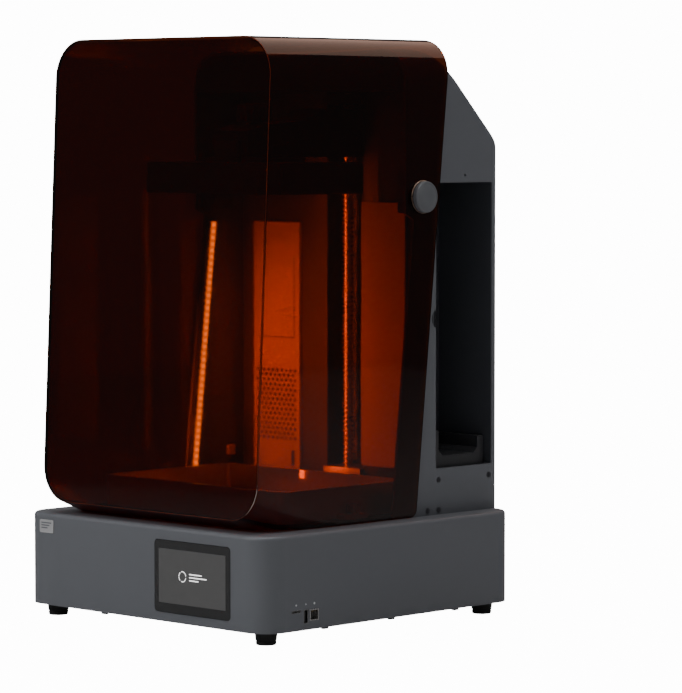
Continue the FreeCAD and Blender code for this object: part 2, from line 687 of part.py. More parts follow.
def column_shell():
    """The grey column: two cheeks, a rear wall and a sloped, rounded top, open in front."""
    inside, outside = "inner_x - 0.5", "column_x + 1"
    middle_z = "cover_low + cover_tall / 2"
    tools = [
        column_solid("column_wall"),
        prism("YZ", inside, outside, bay_loop("0")),
        prism("YZ", inside, outside, circles=[("134.6", "bay_low + bay_tall + 7", "1.6")]),
        prism("YZ", inside, outside, circles=[("bay_front_y + 4", "notch_mid", "notch_wide / 2")]),
        prism("XZ", "case_y - cover_thick", "case_y + 1",
              centred_loop("0", middle_z, "cover_wide", "cover_tall", "4")),
        prism("XZ", "case_y - column_wall - 1", "case_y + 1", centred_loop(
            "0", middle_z, "cover_wide - 2 * cover_lip", "cover_tall - 2 * cover_lip", "4")),
        rod("X", f"-({outside})", "pivot_y", "pivot_z", "pin_dia / 2", f"2 * ({outside})"),
    ]
    for y, z in column_screw_places():
        tools.append(rod("X", f"-({outside})", y, z, "screw_wide / 2", f"2 * ({outside})"))
    return keep(without(column_solid("0"), *tools), "column_shell")


def bay_loop(margin):
    return box_loop(f"bay_front_y - {margin}", f"bay_low - {margin}",
                    f"bay_front_y + bay_deep + {margin}", f"bay_low + bay_tall + {margin}", "2")


def column_screw_places():
    low = "case_top + 5"
    return [("77", low), ("94", low), ("94", "case_top + 37"), ("173", "case_top + 37")]


def column_screws():
    """Flat-headed screws through both cheeks near the foot, and those of the rear cover."""
    screws = []
    for y, z in column_screw_places():
        for side in (-1, 1):
            start = "inner_x - 6" if side > 0 else "-column_x - 0.4"
            shank = rod("X", start, y, z, "screw_wide / 2", "column_wall + 6.4")
            head_start = "column_x" if side > 0 else "-column_x - 0.4"
            head = rod("X", head_start, y, z, "screw_head / 2", "0.4")
            screws.append(joined(shank, head))
    start = "case_y - cover_thick - 5"
    screws += [rod("Y", x, start, z, "screw_wide / 2", "cover_thick + 5")
               for x, z in cover_screw_places()]
    return keep(together(*screws), "column_screws")


def bay_liner():
    """The black box that lines the bottle bay, open to the right."""
    wall = "liner_wall"
    body = new_body()
    pad(body, "YZ", "inner_x - bay_reach", "inner_x", bay_loop(wall))
    pocket(body, "YZ", f"inner_x - bay_reach + {wall}", "inner_x", bay_loop("0"))
    return keep(body, "bay_liner")


def bay_cradle():
    """The stepped cradle at the bottom of the bay that a bottle stands in."""
    low = "bay_low"
    near, far = "(bay_front_y + 3)", "(bay_front_y + bay_deep - 5)"
    cradle = prism("YZ", "inner_x - bay_reach + 8", "inner_x - 6", [
        (near, low), (far, low), (far, f"{low} + 31"), (f"{far} - 9", f"{low} + 31"),
        (f"{far} - 9", f"{low} + 19"), (f"{far} - 15", f"{low} + 13"), (f"{near} + 17", f"{low} + 13"),
        (f"{near} + 11", f"{low} + 19"), (f"{near} + 11", f"{low} + 40"), (near, f"{low} + 40")])
    return keep(cradle, "bay_cradle")


def back_wall():
    """The inner wall behind the vat, left and right of the Z channel."""
    left, right = "-inner_x + seam", "inner_x - bay_reach - seam"
    body = new_body()
    side = "back_wall_y"
    pad(body, "XZ", side, f"{side} + sheet_thick",
        box_loop(left, "mask_top + seam", "-channel_left", "head_cover_low"))
    keep(body, "back_wall")
    other = new_body()
    pad(other, "XZ", side, f"{side} + sheet_thick", box_loop(
        "channel_right + channel_wall", "case_top + seam", right, "head_cover_low"))
    ahead = "(bay_front_y - liner_wall - seam)"
    pad(other, "YZ", f"{right} - sheet_thick", right, box_loop(
        f"{ahead} - sheet_thick", "case_top + seam", f"{side} + sheet_thick", "head_cover_low"))
    pad(other, "XZ", f"{ahead} - sheet_thick", ahead, box_loop(
        f"{right} - sheet_thick", "case_top + seam", "inner_x - seam", "head_cover_low"))
    return keep(other, "bay_front_panel")


def head_cover():
    """The dark cover across the top of the printing space, open to the rear."""
    half = "(inner_x - seam)"
    top = "column_top - column_wall - seam"
    body = new_body()
    bend = "column_round - column_wall"
    pad(body, "XZ", "head_front_y", "back_wall_y", [
        (f"-{half}", "head_cover_low"), (half, "head_cover_low"),
        (half, top, bend), (f"-{half}", top, bend)])
    side = f"({half} - sheet_thick)"
    low, high = "head_cover_low + sheet_thick", f"{top} - sheet_thick"
    tight = f"{bend} - sheet_thick"
    pocket(body, "XZ", "head_front_y + sheet_thick", "back_wall_y", [
        (f"-{side}", low), (side, low), (side, high, tight), (f"-{side}", high, tight)])
    return keep(shared(body, column_solid("(column_wall + seam)")), "head_cover")


def filter_cover():
    """The lit panel on the back wall, with staggered holes and a door seam."""
    front = "back_wall_y - panel_thick"
    body = new_body()
    pad(body, "XZ", front, "back_wall_y",
        box_loop("-panel_left", "panel_low", "-panel_right", "panel_high", "3"))
    door_low, door_right = "(panel_low + 151)", "(-panel_right - 8)"
    pocket(body, "XZ", front, f"{front} + 0.8",
           box_loop(f"{door_right} - 1.2", door_low, door_right, "panel_high - 38"))
    pocket(body, "XZ", front, f"{front} + 0.8",
           box_loop("-panel_left + 6", f"{door_low} - 1.2", door_right, door_low))
    pocket(body, "XZ", front, f"{front} + 1.5",
           box_loop(f"{door_right} - 5", "panel_low + 9", door_right, "panel_low + 25", "1"))
    holes = []
    for line in range(15):
        shift = line % 2
        for place in range(9 - shift):
            x = f"-panel_left + 7 + {7 * place + 3.5 * shift}"
            holes.append((x, f"panel_low + 38 + {5.4 * line}", "1.7"))
    pocket(body, "XZ", front, "back_wall_y", circles=holes)
    return keep(body, "filter_cover")


def filter_cartridge():
    """The carbon block behind the back wall, cleaning the air of the printing space."""
    cartridge = block("-panel_left + 12", "-panel_right - 6", "back_wall_y + sheet_thick",
                      "back_wall_y + sheet_thick + 24", "panel_low + 12", "panel_low + 92")
    return keep(cartridge, "filter_cartridge")


def bar_loop(half):
    """A leaning strip in the side view, as wide as twice the given half."""
    low, high = "light_bar_low", "light_bar_high"
    return [(f"{low}_y - {half}", low), (f"{low}_y + {half}", low),
            (f"{high}_y + {half}", high), (f"{high}_y - {half}", high)]


def light_bar():
    """The leaning lamp on the left cheek: its bar, its board and its row of beads."""
    wall = "-inner_x"
    bar = new_body()
    pad(bar, "YZ", wall, f"{wall} + light_bar_thick", bar_loop("light_bar_wide / 2"))
    pad(bar, "YZ", f"{wall} + light_bar_thick", f"{wall} + light_bar_thick + 0.8",
        bar_loop("(light_bar_wide / 2 - 1)"))
    keep(bar, "light_bar")
    beads = []
    rise = "(light_bar_high - light_bar_low - 8)"
    drift = "(light_bar_high_y - light_bar_low_y)"
    for number in range(SIZES["bead_count"]):
        share = number / (SIZES["bead_count"] - 1)
        mid_y = f"light_bar_low_y + {drift} * {share:.6f}"
        low_z = f"light_bar_low + 4 + {rise} * {share:.6f} - bead_side / 2"
        near = f"{wall} + light_bar_thick + 0.8"
        beads.append(block(near, f"{near} + bead_thick", f"{mid_y} - bead_side / 2",
                           f"{mid_y} + bead_side / 2", low_z, f"{low_z} + bead_side"))
    return keep(together(*beads), "light_bar_beads")


def rear_cover():
    """The service cover in the column's back, slotted and held by four screws."""
    near = "case_y - cover_thick"
    mid_z = "cover_low + cover_tall / 2"
    body = new_body()
    outline = centred_loop("0", mid_z, "cover_wide - 2 * seam", "cover_tall - 2 * seam", "3.8")
    pad(body, "XZ", near, "case_y", outline,
        circles=[(x, z, "screw_wide / 2") for x, z in cover_screw_places()])
    slot = pocket(body, "XZ", near, "case_y",
                  box_loop("-60", f"{mid_z} + 40", "60", f"{mid_z} + 43", "1.4"))
    repeat(body, slot, "Z", "63", 8)
    return keep(body, "rear_cover")


def cover_screw_places():
    x = "(cover_wide / 2 - cover_lip - 5)"
    return [(f"{side} * {x}", z) for side in (-1, 1)
            for z in ("cover_low + cover_lip + 5", "cover_low + cover_tall - cover_lip - 5")]


# ---------------------------------------------------------------- Z axis

def z_frame():
    """The black channel that carries the rails, on a foot plate that closes the case."""
    left, right = "(0 - channel_left - channel_wall)", "(channel_right + channel_wall)"
    body = new_body()
    pad(body, "XY", "mask_top", "head_cover_low", [
        (left, "back_wall_y + sheet_thick + seam"),
        ("-channel_left", "back_wall_y + sheet_thick + seam"),
        ("-channel_left", "web_y"), ("channel_right", "web_y"),
        ("channel_right", "back_wall_y"), (right, "back_wall_y"),
        (right, "web_y + channel_wall"), (left, "web_y + channel_wall")])
    foot = box_loop(left, "back_wall_y - 16", right, "web_y + channel_wall")
    pad(body, "XY", "case_top", "mask_top", foot, circles=[("0", "screw_y", "12.5")])
    return keep(shared(body, column_solid("(column_wall + seam)")), "z_frame")


def linear_rails():
    rails = [block(f"{side} * rail_x - rail_wide / 2", f"{side} * rail_x + rail_wide / 2",
                   "web_y - rail_thick", "web_y", "rail_low", "rail_high") for side in (-1, 1)]
    return keep(together(*rails), "linear_rails")


def rail_carriages():
    """Two carriages that clasp the rails and carry the arm plate."""
    low, high = "arm_low + 2", "arm_low + 2 + carriage_tall"
    near = "web_y - rail_thick - carriage_thick + rail_overlap"
    carriages = []
    for side in (-1, 1):
        outer = block(f"{side} * rail_x - carriage_wide / 2", f"{side} * rail_x + carriage_wide / 2",
                      near, "web_y - 3", low, high)
        groove = block(f"{side} * rail_x - rail_wide / 2 - fit", f"{side} * rail_x + rail_wide / 2 + fit",
                       "web_y - rail_thick - fit", "web_y", f"{low} - 1", f"{high} + 1")
        carriages.append(without(outer, groove))
    return keep(together(*carriages), "rail_carriages")


def arm_plate():
    plate = block("-25", "25", "carriage_y - 3.4", "carriage_y", "arm_low - 1", "arm_low + arm_tall")
    return keep(plate, "arm_plate")


def ball_screw():
    """The screw, with a journal at each end."""
    shank = rod("Z", "0", "screw_y", "screw_low", "screw_dia / 2", "screw_high - screw_low")
    seat = "(coupling_low + 11.5)"
    lower = rod("Z", "0", "screw_y", seat, "journal_dia / 2", f"screw_low - {seat}")
    upper = rod("Z", "0", "screw_y", "screw_high", "journal_dia / 2", "bearing_tall + 1")
    keep(joined(shank, lower, upper), "ball_screw")
    coupling = without(
        rod("Z", "0", "screw_y", "coupling_low", "coupling_dia / 2", "coupling_tall"),
        rod("Z", "0", "screw_y", "coupling_low - 1", "shaft_dia / 2", "12"),
        rod("Z", "0", "screw_y", seat, "journal_dia / 2", "coupling_tall"))
    keep(coupling, "shaft_coupling")
    shaft = rod("Z", "0", "screw_y", "case_top - motor_tall + 4", "shaft_dia / 2",
                "coupling_low + 11 - (case_top - motor_tall + 4)")
    keep(shaft, "motor_shaft")


def stepper_motor():
    """The Z motor, hung under the foot plate with its shaft upward."""
    outer = prism("XY", "case_top - motor_tall", "case_top",
                  centred_loop("0", "screw_y", "motor_side", "motor_side", "5"))
    bore = rod("Z", "0", "screw_y", "case_top - motor_tall + 3.7", "shaft_dia / 2 + pin_fit", "motor_tall")
    return keep(without(outer, bore), "stepper_motor")


def bearing_block(name, low, rear_y):
    """A block across the channel with a bore for one end of the screw."""
    body = new_body()
    pad(body, "XY", low, f"{low} + bearing_tall",
        box_loop("-channel_left", "screw_y - 12", "channel_right", rear_y),
        circles=[("0", "screw_y", "journal_dia / 2 + pin_fit")])
    return keep(body, name)


def ball_nut():
    """The nut on the screw, and the block that holds it to the arm plate."""
    nut = without(rod("Z", "0", "screw_y", "arm_low + 8", "nut_dia / 2 - 1.5", "44"),
                  rod("Z", "0", "screw_y", "arm_low + 7", "screw_dia / 2 + fit", "50"))
    keep(nut, "ball_nut")
    holder = without(
        block("-nut_block_half", "nut_block_half", "screw_y - 12", "carriage_y - 3.4",
              "arm_low + 14", "arm_low + 50"),
        rod("Z", "0", "screw_y", "arm_low + 13", "nut_dia / 2 - 1.5", "40"))
    return keep(holder, "nut_block")


def z_arm():
    """The cast arm: cheeks round the nut block, a beam forward and a slot for the platform."""
    half = "arm_half"
    root = "carriage_y - 3.4"
    body = new_body()
    pad(body, "YZ", "-nut_block_half - 8", "nut_block_half + 8", [
        ("arm_root_y", "arm_low"), (root, "arm_low"), (root, "arm_low + arm_tall - 2"),
        ("arm_root_y + 30", "arm_low + arm_tall - 2", "14"), ("arm_root_y", "arm_low + 40")])
    pad(body, "YZ", f"-{half}", half, [
        ("arm_front_y", "arm_low"), ("arm_root_y + 6", "arm_low"), ("arm_root_y + 6", "arm_low + 40", "10"),
        ("arm_front_y + 24", "arm_low + 34", "20"), ("arm_front_y", "arm_low + 28")])
    pocket(body, "XY", "arm_low - 1", "arm_low + arm_tall", box_loop(
        "-nut_block_half", "screw_y - 13", "nut_block_half", f"{root} + 1"))
    pocket(body, "XZ", "arm_front_y - 1", "arm_root_y - 8", box_loop(
        "-slot_half", "arm_low - 1", "slot_half", "slot_top"))
    pocket(body, "XY", "slot_top", "arm_low + arm_tall",
           circles=[("0", "print_mid_y", "clamp_pin_dia / 2 + fit")])
    return keep(body, "z_arm")


def platform_clamp():
    """The knob on the arm whose pin presses on the platform's block."""
    top = "arm_low + 36"
    body = new_body()
    knob = (f"{top} + 1", f"{top} + 1 + clamp_knob_tall")
    pad(body, "XY", "slot_top + gap - 0.2", f"{top} + 2",
        circles=[("0", "print_mid_y", "clamp_pin_dia / 2")])
    pad(body, "XY", *knob, circles=[("0", "print_mid_y", "clamp_knob_dia / 2")])
    pad(body, "XY", *knob, centred_loop("0", "print_mid_y", "clamp_knob_dia + 12", "10", "4"))
    return keep(body, "clamp_knob")


def build_platform():
    """The build plate and the block that slides into the arm."""
    body = new_body()
    pad(body, "XY", "platform_low", "platform_top", centred_loop(
        "0", "print_mid_y", "platform_wide", "platform_deep", "platform_corner"))
    low, high = value("platform_low"), value("platform_top")
    soften(body, "1", lambda edge: lies(edge, z=low) or lies(edge, z=high), "Chamfer")
    keep(body, "build_platform")
    neck = new_body()
    pad(neck, "XY", "platform_top", "slot_top - gap", box_loop(
        "-slot_half + gap", "arm_front_y - 6", "slot_half - gap", "arm_root_y - 9", "2"))
    pad(neck, "XY", "platform_top", "arm_low - gap", centred_loop("0", "print_mid_y", "90", "70", "6"))
    return keep(neck, "platform_block")


# ---------------------------------------------------------------- vat

def vat_frame():
    """The vat: a rimmed tray with a window over the mask and a tab at each side."""
    window = ("platform_wide + 2 * vat_window_gap", "platform_deep + 2 * vat_window_gap")
    ring_top = "vat_low + film_thick + ring_thick"
    body = new_body()
    pad(body, "XY", "vat_low", "vat_low + vat_tall",
        centred_loop("0", "print_mid_y", "vat_wide", "vat_deep", "vat_corner"))
    pad(body, "XY", "vat_low", "vat_low + tab_thick",
        centred_loop("0", "print_mid_y", "vat_wide + 2 * tab_wide", "tab_deep", "5"))
    pocket(body, "XY", f"{ring_top} + vat_floor", "vat_low + vat_tall", centred_loop(
        "0", "print_mid_y", "vat_wide - 2 * vat_wall", "vat_deep - 2 * vat_wall", "vat_corner - vat_wall"))
    pocket(body, "XY", "vat_low", f"{ring_top} + vat_floor", centred_loop("0", "print_mid_y", *window, "6"))
    pocket(body, "XY", "vat_low", ring_top, centred_loop(
        "0", "print_mid_y", f"{window[0]} + 4 * film_lip", f"{window[1]} + 4 * film_lip", "10"))
    pocket(body, "XY", "vat_low", "vat_low + tab_thick", circles=[
        (f"{side} * vat_pin_x", "print_mid_y", "vat_pin_dia / 2 + gap") for side in (-1, 1)])
    return keep(body, "vat_frame")


def vat_film():
    """The release film and the ring that clamps it under the vat."""
    window = ("platform_wide + 2 * vat_window_gap", "platform_deep + 2 * vat_window_gap")
    outer = (f"{window[0]} + 4 * film_lip - 2 * seam", f"{window[1]} + 4 * film_lip - 2 * seam")
    film = prism("XY", "vat_low", "vat_low + film_thick", centred_loop("0", "print_mid_y", *outer, "9.8"))
    keep(film, "release_film")
    ring = prism("XY", "vat_low + film_thick", "vat_low + film_thick + ring_thick",
                 centred_loop("0", "print_mid_y", *outer, "9.8"),
                 centred_loop("0", "print_mid_y", *window, "6"))
    return keep(ring, "film_ring")


def vat_knob(name, side):
    """A thumb screw held in the vat's tab, its pin down into the deck's hole."""
    top = "vat_low + tab_thick + gap"
    x = f"{side} * vat_pin_x"
    body = new_body()
    pad(body, "XY", "case_top + 0.5", f"{top} + 1", circles=[(x, "print_mid_y", "vat_pin_dia / 2")])
    pad(body, "XY", top, f"{top} + vat_knob_tall", circles=[(x, "print_mid_y", "vat_knob_dia / 2")])
    pocket(body, "XY", f"{top} + vat_knob_tall - 2", f"{top} + vat_knob_tall",
           centred_loop(x, "print_mid_y", "1.6", "vat_knob_dia + 2"))
    return keep(body, name)


# ---------------------------------------------------------------- hood

def hood_solid(half, outline, shrink):
    """The hood's outline in the side view, padded, with its long side edges rounded."""
    body = new_body()
    pad(body, "YZ", f"-({half})", half, outline)
    side, top = value(half), value(f"hood_top - {shrink}")
    soften(body, f"hood_round - {shrink}",
           lambda edge: runs_at(edge, side) and lies(edge, z=top))
    soften(body, f"hood_sill_round - {shrink}",
           lambda edge: runs_at(edge, side) and slopes_under(edge, value("hood_sill")))
    return body


def runs_at(edge, side):
    """Whether an edge lies in one of the two side planes."""
    box = edge.BoundBox
    return box.XLength < 0.01 and abs(abs(box.XMin) - side) < 0.01


def slopes_under(edge, sill):
    """Whether an edge is on the sloping strip where the hood turns under at the front."""
    box = edge.BoundBox
    return box.ZMax < sill + 5 and box.ZLength > 3 and box.YLength > 10


def hood_shell():
    """The clear hood: leaning front and rear edges, rounded sides, open behind and below."""
    low = "(case_top + hood_gap)"
    wall = "hood_wall"
    outer = hood_solid("hood_x", [
        ("hood_sill_y + hood_return", low), ("hood_rear_low_y", low, "hood_heel"),
        ("hood_rear_high_y", "hood_top"), ("hood_brow_y", "hood_top"), ("hood_sill_y", "hood_sill")], "0")
    slope = f"((hood_sill - {low}) / hood_return)"
    inner_sill = f"(hood_sill + {wall} * (sqrt(1 + {slope} * {slope}) - {slope}))"
    spare = f"(4 * {wall})"
    inner = hood_solid(f"hood_x - {wall}", [
        (f"hood_sill_y + {wall} + ({inner_sill} - {low} + {spare}) / {slope}", f"{low} - {spare}"),
        (f"hood_rear_low_y + {spare}", f"{low} - {spare}"),
        (f"hood_rear_high_y + {spare}", f"hood_top - {wall}"),
        (f"hood_brow_y + {wall}", f"hood_top - {wall}"), (f"hood_sill_y + {wall}", inner_sill)], wall)
    bore = rod("X", "-hood_x - 1", "pivot_y", "pivot_z", "bush_dia / 2", "hood_wide + 2")
    return keep(without(outer, inner, bore), "hood_shell")


def hood_pivots():
    """The clear bushes and grey caps on the hood, and the column's brackets with their pins."""
    bushes, caps, brackets = [], [], []
    for side in (-1, 1):
        def disc(near, thick, radius):
            start = near if side > 0 else f"-({near}) - ({thick})"
            return rod("X", start, "pivot_y", "pivot_z", radius, thick)
        sleeve = disc("hood_x - hood_wall - 0.5", "hood_wall + 0.5", "bush_dia / 2")
        rim = disc("hood_x", "bush_rim_thick", "bush_rim / 2")
        bore = disc("hood_x - hood_wall - 1", "hood_wall + bush_rim_thick + 2", "pin_dia / 2 + pin_fit")
        bushes.append(without(joined(sleeve, rim), bore))
        caps.append(disc("hood_x + bush_rim_thick", "cap_thick", "cap_dia / 2"))
        pin = disc("inner_x", "hood_x + bush_rim_thick - gap - inner_x", "pin_dia / 2")
        low_x = "inner_x - 16" if side > 0 else "-inner_x"
        plate = block(low_x, f"{low_x} + 16", "pivot_y - 15", "pivot_y + 17",
                      "pivot_z - 17", "pivot_z + 30")
        brackets.append(joined(plate, pin))
    keep(together(*bushes), "hood_bushes")
    keep(together(*caps), "pivot_caps")
    return keep(together(*brackets), "hinge_brackets")


# ---------------------------------------------------------------- the whole printer

def build():
    for make in (base_housing, base_plate, rubber_feet, base_screws, touchscreen_glass, display_module,
                 badge_plate):
        make()
    port("card_reader", card_loop, "12", "port_shell")
    port("usb_port", usb_loop, "14", "port_shell")
    port("ethernet_port", net_loop, "15", "1.1")
    for make in (port_board, power_inlet, switch_body, power_rocker, cooling_fan_frame,
                 cooling_fan_impeller, light_source, mainboard, power_supply, top_deck, mask_screen,
                 column_shell, column_screws, bay_liner, bay_cradle, back_wall, head_cover,
                 filter_cover, filter_cartridge, light_bar, rear_cover, z_frame, linear_rails,
                 rail_carriages, arm_plate, ball_screw, stepper_motor):
        make()
    bearing_block("lower_bearing_block", "screw_low - bearing_tall - 0.3", "web_y")
    bearing_block("upper_bearing_block", "screw_high + 0.3", "screw_y + 8")
    for make in (ball_nut, z_arm, platform_clamp, build_platform, vat_frame, vat_film):
        make()
    vat_knob("vat_knob_left", -1)
    vat_knob("vat_knob_right", 1)
    hood_shell()
    hood_pivots()
    doc.recompute()


def check():
    """Stop before anything is written if any feature failed or any piece isn't a sound solid."""
    for item in doc.Objects:
        if "Invalid" in item.State or "Error" in item.State:
            raise ValueError(f"{item.Label} of {item.TypeId} failed: {item.State}")
    for item in nodes:
        shape = item.Shape
        if shape.isNull() or not shape.isValid() or not shape.Solids:
            raise ValueError(f"{item.Label} isn't a valid solid")


build()
check()
os.makedirs("parts", exist_ok=True)
for item in nodes:
    item.Shape.exportStep(f"parts/{item.Label}.step")
    print(item.Label, len(item.Shape.Solids), round(item.Shape.Volume))
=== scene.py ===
"""A desktop resin printer in a studio: its finishes, fine details and lights.

Metres, +Z up, front towards -Y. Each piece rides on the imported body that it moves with.
"""

import math

import bmesh
import bpy
from mathutils import Matrix, Vector


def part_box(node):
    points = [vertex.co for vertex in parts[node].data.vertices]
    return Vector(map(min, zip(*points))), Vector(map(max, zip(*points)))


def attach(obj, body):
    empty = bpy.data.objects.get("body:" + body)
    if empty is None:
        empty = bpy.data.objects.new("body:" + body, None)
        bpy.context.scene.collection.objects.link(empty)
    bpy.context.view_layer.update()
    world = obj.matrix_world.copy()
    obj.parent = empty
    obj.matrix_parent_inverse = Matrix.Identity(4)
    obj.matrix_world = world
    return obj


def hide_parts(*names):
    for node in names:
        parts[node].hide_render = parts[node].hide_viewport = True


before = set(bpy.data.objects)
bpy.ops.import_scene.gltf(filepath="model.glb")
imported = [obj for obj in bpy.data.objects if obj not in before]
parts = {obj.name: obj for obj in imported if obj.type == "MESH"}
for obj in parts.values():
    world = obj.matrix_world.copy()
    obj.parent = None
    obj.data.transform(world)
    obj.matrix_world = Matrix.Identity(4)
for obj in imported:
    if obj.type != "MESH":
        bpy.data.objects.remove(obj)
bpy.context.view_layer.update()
MM = 0.001


# ---------------------------------------------------------------- shader groups

def new_group(name, inputs, outputs):
    """An empty shader node group with named sockets, as (tree, what comes in, what goes out)."""
    tree = bpy.data.node_groups.new(name, "ShaderNodeTree")
    for title, kind, start in inputs:
        socket = tree.interface.new_socket(title, in_out="INPUT", socket_type=f"NodeSocket{kind}")
        if start is not None:
            socket.default_value = start
    for title, kind in outputs:
        tree.interface.new_socket(title, in_out="OUTPUT", socket_type=f"NodeSocket{kind}")
    return tree, tree.nodes.new("NodeGroupInput").outputs, tree.nodes.new("NodeGroupOutput").inputs


def add_node(tree, kind, *settings, **inputs):
    """The outputs of a new node; each input may be a value or a socket, and _0 is the first."""
    node = tree.nodes.new(f"ShaderNode{kind}")
    for name, setting in settings:
        setattr(node, name, setting)
    for name, source in inputs.items():
        socket = node.inputs[int(name[1:])] if name[0] == "_" else node.inputs[name]
        if isinstance(source, bpy.types.NodeSocket):
            tree.links.new(source, socket)
        else:
            socket.default_value = source
    return node.outputs


def maths(tree, operation, first, second):
    """The result of one operation on two numbers or sockets."""
    return add_node(tree, "Math", ("operation", operation), _0=first, _1=second)[0]


def blend(tree, share, first, second):
    """A mix of two shaders, with the second one's share as a socket."""
    return add_node(tree, "MixShader", Fac=share, _1=first, _2=second)["Shader"]


def moulded_skin():
    """Fine grain and slow drift of tone, as on moulded plastic or a powder coat."""
    tree, given, made = new_group(
        "moulded_skin",
        [("Vector", "Vector", None), ("Tone", "Color", (0.1, 0.1, 0.1, 1)),
         ("Drift", "Float", 0.08), ("Grain", "Float", 1800.0),
         ("Roughness", "Float", 0.5), ("Roughness Drift", "Float", 0.08)],
        [("Color", "Color"), ("Roughness", "Float"), ("Height", "Float")])
    cloud = add_node(tree, "TexNoise", Vector=given["Vector"], Scale=22.0, Detail=3.0)["Fac"]
    fine = add_node(tree, "TexNoise", Vector=given["Vector"], Scale=given["Grain"],
                    Detail=2.0)["Fac"]
    drift = maths(tree, "MULTIPLY", maths(tree, "SUBTRACT", cloud, 0.5), given["Drift"])
    speck = maths(tree, "MULTIPLY", maths(tree, "SUBTRACT", fine, 0.5), given["Drift"])
    gain = maths(tree, "ADD", maths(tree, "ADD", drift, speck), 1.0)
    tone = add_node(tree, "HueSaturation", Color=given["Tone"], Value=gain)["Color"]
    tree.links.new(tone, made["Color"])
    spread = maths(tree, "MULTIPLY", maths(tree, "SUBTRACT", cloud, 0.5),
                   given["Roughness Drift"])
    tree.links.new(maths(tree, "ADD", given["Roughness"], spread), made["Roughness"])
    tree.links.new(fine, made["Height"])
    return tree


def brushed_skin():
    """Long fine scratches along one axis, as on brushed or ground metal."""
    tree, given, made = new_group(
        "brushed_skin",
        [("Vector", "Vector", None), ("Stretch", "Vector", (1, 1, 1)),
         ("Tone", "Color", (0.5, 0.5, 0.5, 1)), ("Scratch", "Float", 0.12),
         ("Roughness", "Float", 0.35)],
        [("Color", "Color"), ("Roughness", "Float"), ("Height", "Float")])
    drawn = add_node(tree, "VectorMath", ("operation", "MULTIPLY"), _0=given["Vector"],
                     _1=given["Stretch"])[0]
    lines = add_node(tree, "TexNoise", Vector=drawn, Scale=900.0, Detail=3.0)["Fac"]
    swing = maths(tree, "MULTIPLY", maths(tree, "SUBTRACT", lines, 0.5), given["Scratch"])
    tone = add_node(tree, "HueSaturation", Color=given["Tone"],
                    Value=maths(tree, "ADD", swing, 1.0))["Color"]
    tree.links.new(tone, made["Color"])
    tree.links.new(maths(tree, "ADD", given["Roughness"], swing), made["Roughness"])
    tree.links.new(lines, made["Height"])
    return tree


SKIN = moulded_skin()
BRUSHED = brushed_skin()


# ---------------------------------------------------------------- finishes

def bare(name, rough, metal=0.0, **fixed):
    """A new material and its surface shader, with even values set on the shader itself."""
    material = bpy.data.materials.new(name)
    material.use_nodes = True
    shader = material.node_tree.nodes["Principled BSDF"]
    shader.inputs["Roughness"].default_value = rough
    shader.inputs["Metallic"].default_value = metal
    for title, setting in fixed.items():
        shader.inputs[title.replace("_", " ")].default_value = setting
    return material, shader


def dress(material, shader, group, bump, **settings):
    """Join a skin group to a surface, with its height as a bump of a given depth."""
    tree = material.node_tree
    place = add_node(tree, "TexCoord")
    skin = tree.nodes.new("ShaderNodeGroup")
    skin.node_tree = group
    tree.links.new(place["Object"], skin.inputs["Vector"])
    for title, setting in settings.items():
        skin.inputs[title.replace("_", " ")].default_value = setting
    tree.links.new(skin.outputs["Color"], shader.inputs["Base Color"])
    tree.links.new(skin.outputs["Roughness"], shader.inputs["Roughness"])
    relief = add_node(tree, "Bump", Strength=1.0, Distance=bump, Height=skin.outputs["Height"])
    tree.links.new(relief["Normal"], shader.inputs["Normal"])
    return material


def finish(name, tone, rough, metal=0.0, grain=1800.0, drift=0.08, bump=0.00003, **fixed):
    """A moulded or painted finish in one tone."""
    material, shader = bare(name, rough, metal, **fixed)
    return dress(material, shader, SKIN, bump, Tone=(*tone, 1), Drift=drift, Grain=grain,
                 Roughness=rough, Roughness_Drift=0.08)


def brushed(name, tone, rough, stretch, scratch=0.2, bump=0.00001):
    """A bare metal finish whose scratches run along the axis with the small stretch."""
    material, shader = bare(name, rough, 1.0)
    return dress(material, shader, BRUSHED, bump, Tone=(*tone, 1), Stretch=stretch,
                 Scratch=scratch, Roughness=rough)


def tinted_glass(name, tone, clear, rough=0.03):
    """Clear plastic that dyes what passes through it; its shadow is a dyed light as well."""
    material, shader = bare(name, rough, 0.0, Base_Color=(*tone, 1), Transmission_Weight=1.0,
                            IOR=1.46, Specular_IOR_Level=0.4)
    tree = material.node_tree
    place = add_node(tree, "TexCoord")
    waves = add_node(tree, "TexNoise", Vector=place["Object"], Scale=7.0, Detail=1.0)["Fac"]
    relief = add_node(tree, "Bump", Strength=0.5, Distance=0.0006, Height=waves)
    tree.links.new(relief["Normal"], shader.inputs["Normal"])
    smear = add_node(tree, "TexNoise", Vector=place["Object"], Scale=60.0, Detail=4.0)["Fac"]
    haze = add_node(tree, "MapRange", Value=smear, _1=0.3, _2=0.8, _3=rough, _4=rough + 0.03)[0]
    tree.links.new(haze, shader.inputs["Roughness"])
    through = add_node(tree, "BsdfTransparent", Color=(*clear, 1))["BSDF"]
    ray = add_node(tree, "LightPath")
    look = blend(tree, ray["Is Shadow Ray"], shader.outputs["BSDF"], through)
    tree.links.new(look, tree.nodes["Material Output"].inputs["Surface"])
    return material


def glowing(name, tone, power, base=(0.02, 0.02, 0.02)):
    """A lit surface whose brightness wanders a little from place to place."""
    material, shader = bare(name, 0.4, 0.0, Base_Color=(*base, 1), Emission_Strength=power)
    tree = material.node_tree
    place = add_node(tree, "TexCoord")
    cloud = add_node(tree, "TexNoise", Vector=place["Object"], Scale=120.0)["Fac"]
    gain = add_node(tree, "MapRange", Value=cloud, _1=0.2, _2=0.8, _3=0.9, _4=1.05)[0]
    dyed = add_node(tree, "HueSaturation", Color=(*tone, 1), Value=gain)["Color"]
    tree.links.new(dyed, shader.inputs["Emission Color"])
    return material


